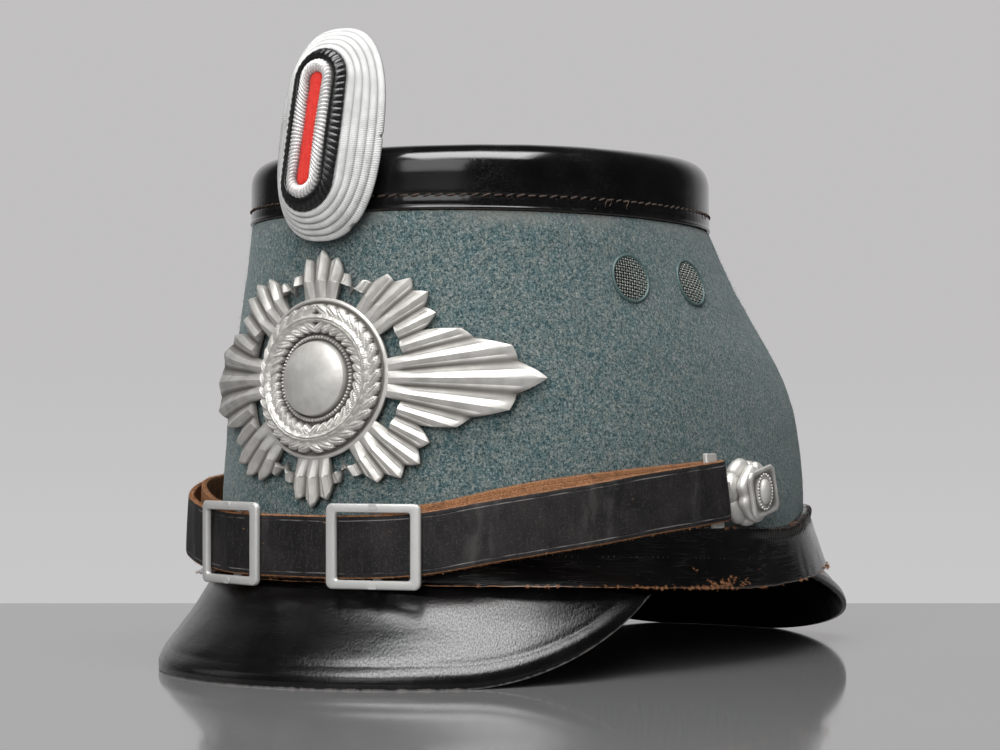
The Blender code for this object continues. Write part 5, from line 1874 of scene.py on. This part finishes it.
def build_frayed_edges(material):
    """Tan fibres along the worn edges of the base band and the chin strap."""
    random = np.random.default_rng(101)
    piece = Piece("frayed_fibres")

    def scatter(points, outward, spread, count_length):
        count = len(points)
        along = random.normal(0, 1, (count, 3)) * np.array(spread)
        piece.fibres(
            points, along, outward, random.uniform(*count_length, count),
            random.uniform(0.00005, 0.00012, count), random.uniform(0.0, 0.0004, count),
            random.uniform(-0.0005, 0.0005, count), tone=random.uniform(0, 1, count),
        )

    def scatter_strap(roots, side, end):
        outward = np.tile([0.0, 0.0, float(end)], (len(roots), 1))
        scatter(mirrored(roots, side), outward, (1, 1, 0.25), (0.0003, 0.0009))

    crumbs = []
    for angle, spread, up, up_spread, count in BAND_CRUMBS:
        centre = random.normal(angle, spread, count)
        height = np.abs(random.normal(up, up_spread, count))
        size = random.integers(5, 26, count)
        crumbs.append(np.repeat(np.stack([centre, height], -1), size, 0))
    crumbs = np.concatenate(crumbs)
    spots = crumbs[:, 0] + random.normal(0, 0.10, len(crumbs))
    up = crumbs[:, 1] + random.normal(0, 0.00016, len(crumbs))
    mirror = np.abs(spots)
    top, low, lip, flare = (smooth_rows(BAND_AROUND, name, mirror) for name in BandRow._fields[1:])
    row = np.clip(1 - up / (top - low), 0, 1)
    grow = BAND_TOP_PROUD + (lip - BAND_TOP_PROUD) * row**flare
    roots = body_at(low + up, np.radians(spots), grow)
    outward = unit(body_at(low, np.radians(spots), 0.05) - body_at(low, np.radians(spots), 0.0))
    scatter(roots, outward, (1, 1, 1), (0.0002, 0.0008))

    for side in (1, -1):
        for end, count in ((1, 1300), (-1, 1100)):
            angle = random.uniform(radians(-20 if side > 0 else 20), STRAP_BAR_ANGLE, count)
            face = strap_proud(angle)
            depth = random.uniform(0.0002, STRAP_THICK, count)
            roots = strap_layer(angle, side, face, np.full(count, end * (STRAP_WIDE / 2)), depth)
            scatter_strap(roots, side, end)
        count = 900
        angle = random.uniform(STRAP_INNER_END, STRAP_BAR_ANGLE, count)
        face = strap_proud(angle) - STRAP_THICK - LAYER_SPACE
        roots = strap_layer(angle, side, face - STRAP_THICK, np.full(count, STRAP_WIDE / 2),
                            -random.uniform(0, STRAP_THICK, count), inner_lift(angle))
        scatter_strap(roots, side, 1)
    return piece.finish(material, open_sheet=True)


# ---------------------------------------------------------------- stage


def build_stage():
    material = floor_material()
    mesh = bpy.data.meshes.new("pale_table")
    size = TABLE_SIZE
    away = np.array([-sin(CAMERA_HEADING), cos(CAMERA_HEADING), 0.0])
    level = np.array([cos(CAMERA_HEADING), sin(CAMERA_HEADING), 0.0])
    corners = [reach * away + side * size * level
               for reach, side in ((-size, -1), (-size, 1), (TABLE_BEHIND, 1), (TABLE_BEHIND, -1))]
    mesh.from_pydata(corners, [], [(0, 1, 2, 3)])
    mesh.materials.append(material)
    floor = add_object("pale_table", mesh)

    world = bpy.data.worlds.new("pale_room")
    bpy.context.scene.world = world
    world.use_nodes = True
    room = Tree(world.node_tree)
    direction = room.add("TexCoord").outputs["Generated"]
    facing = room.add("VectorMath", {0: direction, 1: tuple(away)}, operation="DOT_PRODUCT")
    behind = facing.outputs["Value"]
    height = room.add("SeparateXYZ", {0: direction}).outputs["Z"]
    backdrop = room.times(room.ramp(behind, 0.60, 0.93), room.ramp(height, 0.8, 0.4))
    lit = room.mix(backdrop, ROOM_SHADE, BACKDROP)
    seen = room.add("LightPath").outputs["Is Camera Ray"]
    background = world.node_tree.nodes["Background"]
    pale = room.mix(room.ramp(height, 0.06, -0.08), BACKDROP, BACKDROP_LOW)
    room.feed(room.mix(seen, lit, pale), background.inputs["Color"])

    for light in LIGHTS:
        data = bpy.data.lights.new(light.name, "AREA")
        data.shape = "RECTANGLE"
        data.size, data.size_y = light.width, light.height
        data.energy = light.power
        lamp = add_object(light.name, data)
        lamp.location = light.place
        x, y, z = np.array(light.aim) - np.array(light.place)
        lamp.rotation_euler = (atan2(hypot(x, y), -z), 0, atan2(y, x) - pi / 2)
        lamp.visible_diffuse, lamp.visible_glossy = light.diffuse, light.glossy


def build_camera():
    data = bpy.data.cameras.new("photo_camera")
    data.lens, data.sensor_width = CAMERA_LENS, CAMERA_SENSOR
    data.shift_x, data.shift_y = CAMERA_SHIFT
    data.clip_start, data.clip_end = 0.01, 50.0
    camera = add_object("photo_camera", data)
    camera.location = CAMERA_PLACE
    camera.rotation_euler = (pi / 2, 0, CAMERA_HEADING)
    bpy.context.scene.camera = camera


# ---------------------------------------------------------------- the hat


def build_hat():
    felt = felt_material()
    nap = nap_material()
    tan, brown, grey = (0.30, 0.135, 0.055), (0.06, 0.035, 0.02), (0.13, 0.12, 0.115)
    cap_leather = leather_material(
        "cap_leather", grain=0.5, roughness=0.13, wear=0.5, raw_edge=brown, coat=0.50,
        coat_roughness=0.12, depth=0.04, relief=0.35, stitched=True,
    )
    band_leather = leather_material(
        "band_leather", grain=0.5, roughness=0.20, wear=0.8, raw_edge=tan, coat=0.60,
        coat_roughness=0.13, depth=0.10, relief=0.5, gathered=True,
    )
    visor_leather = leather_material(
        "visor_leather", grain=0.55, roughness=0.20, wear=0.15, raw_edge=grey, coat=0.30,
        coat_roughness=0.20, depth=0.12, relief=1.0, rolled=True,
    )
    strap_leather = strap_material()
    silver = metal_material(
        "cast_silver", (0.63, 0.615, 0.585), (0.17, 0.16, 0.145), 0.48, 0.3, metallic=0.5
    )
    cord_silver = metal_material(
        "corded_silver", (0.72, 0.72, 0.71), (0.20, 0.20, 0.20), 0.62, 0.25, metallic=0.10
    )
    grey_metal = metal_material(
        "grey_metal", (0.56, 0.555, 0.54), (0.38, 0.38, 0.37), 0.42, 0.5, metallic=0.4, depth=0.03
    )
    black_cord = thread_material("black_cord", (0.02, 0.019, 0.02), (0.003, 0.003, 0.003), 0.22)
    white_cord = thread_material(
        "white_cord", (0.84, 0.83, 0.82), (0.38, 0.365, 0.36), 0.38, metallic=0.2
    )
    red_felt = red_felt_material()
    vent_paint = metal_material(
        "vent_paint", (0.058, 0.100, 0.098), (0.025, 0.05, 0.048), 0.5, 0.6, metallic=0.0
    )
    vent_wire = metal_material(
        "vent_wire", (0.27, 0.29, 0.265), (0.03, 0.04, 0.037), 0.5, 0.5, metallic=0.2
    )
    thread = thread_material("seam_thread", (0.062, 0.033, 0.019), (0.018, 0.010, 0.006), 0.7)
    tan_fibre = thread_material("tan_fibre", (0.55, 0.27, 0.13), (0.27, 0.11, 0.045), 0.8)

    build_felt_body(felt)
    build_felt_nap(nap)
    stitches = build_crown_cap(cap_leather)
    build_crown_stitches(thread, stitches)
    build_base_band(band_leather)
    for visor in VISORS:
        build_visor(visor, visor_leather)
    for side_name, side, outer_end, tuck in (("left", 1, -21.3, 0.0), ("right", -1, 17.0, 1.0)):
        build_strap(side_name, side, outer_end, tuck, strap_leather)
        build_buckle(side_name, side, grey_metal)
        build_hanger(side_name, side, silver)
        build_rosette(side_name, side, silver)
    build_vents(vent_paint, vent_wire)
    build_cockade_shell(cord_silver)
    build_cord_ring("cockade_black_cord", ["cockade_black_ring"], black_cord,
                    (0.0076, 0.0220, 0.0095), (0.0023, 0.0012), radians(33), 59, -1.3, 0.45, 1.0)
    build_cord_ring("cockade_white_cord", ["cockade_white_ring"], white_cord,
                    (0.0040, 0.0185, 0.0106), (0.0020, 0.0019), 0.0, 75, -2.8, 0.30, 0.0)
    build_cockade_core(red_felt)
    build_front_plate(silver)
    build_frayed_edges(tan_fibre)
    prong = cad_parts["cockade_prong"]
    for slot in prong.material_slots:
        slot.material = grey_metal


build_hat()
build_stage()
build_camera()
bpy.context.scene.view_settings.view_transform = "Standard"
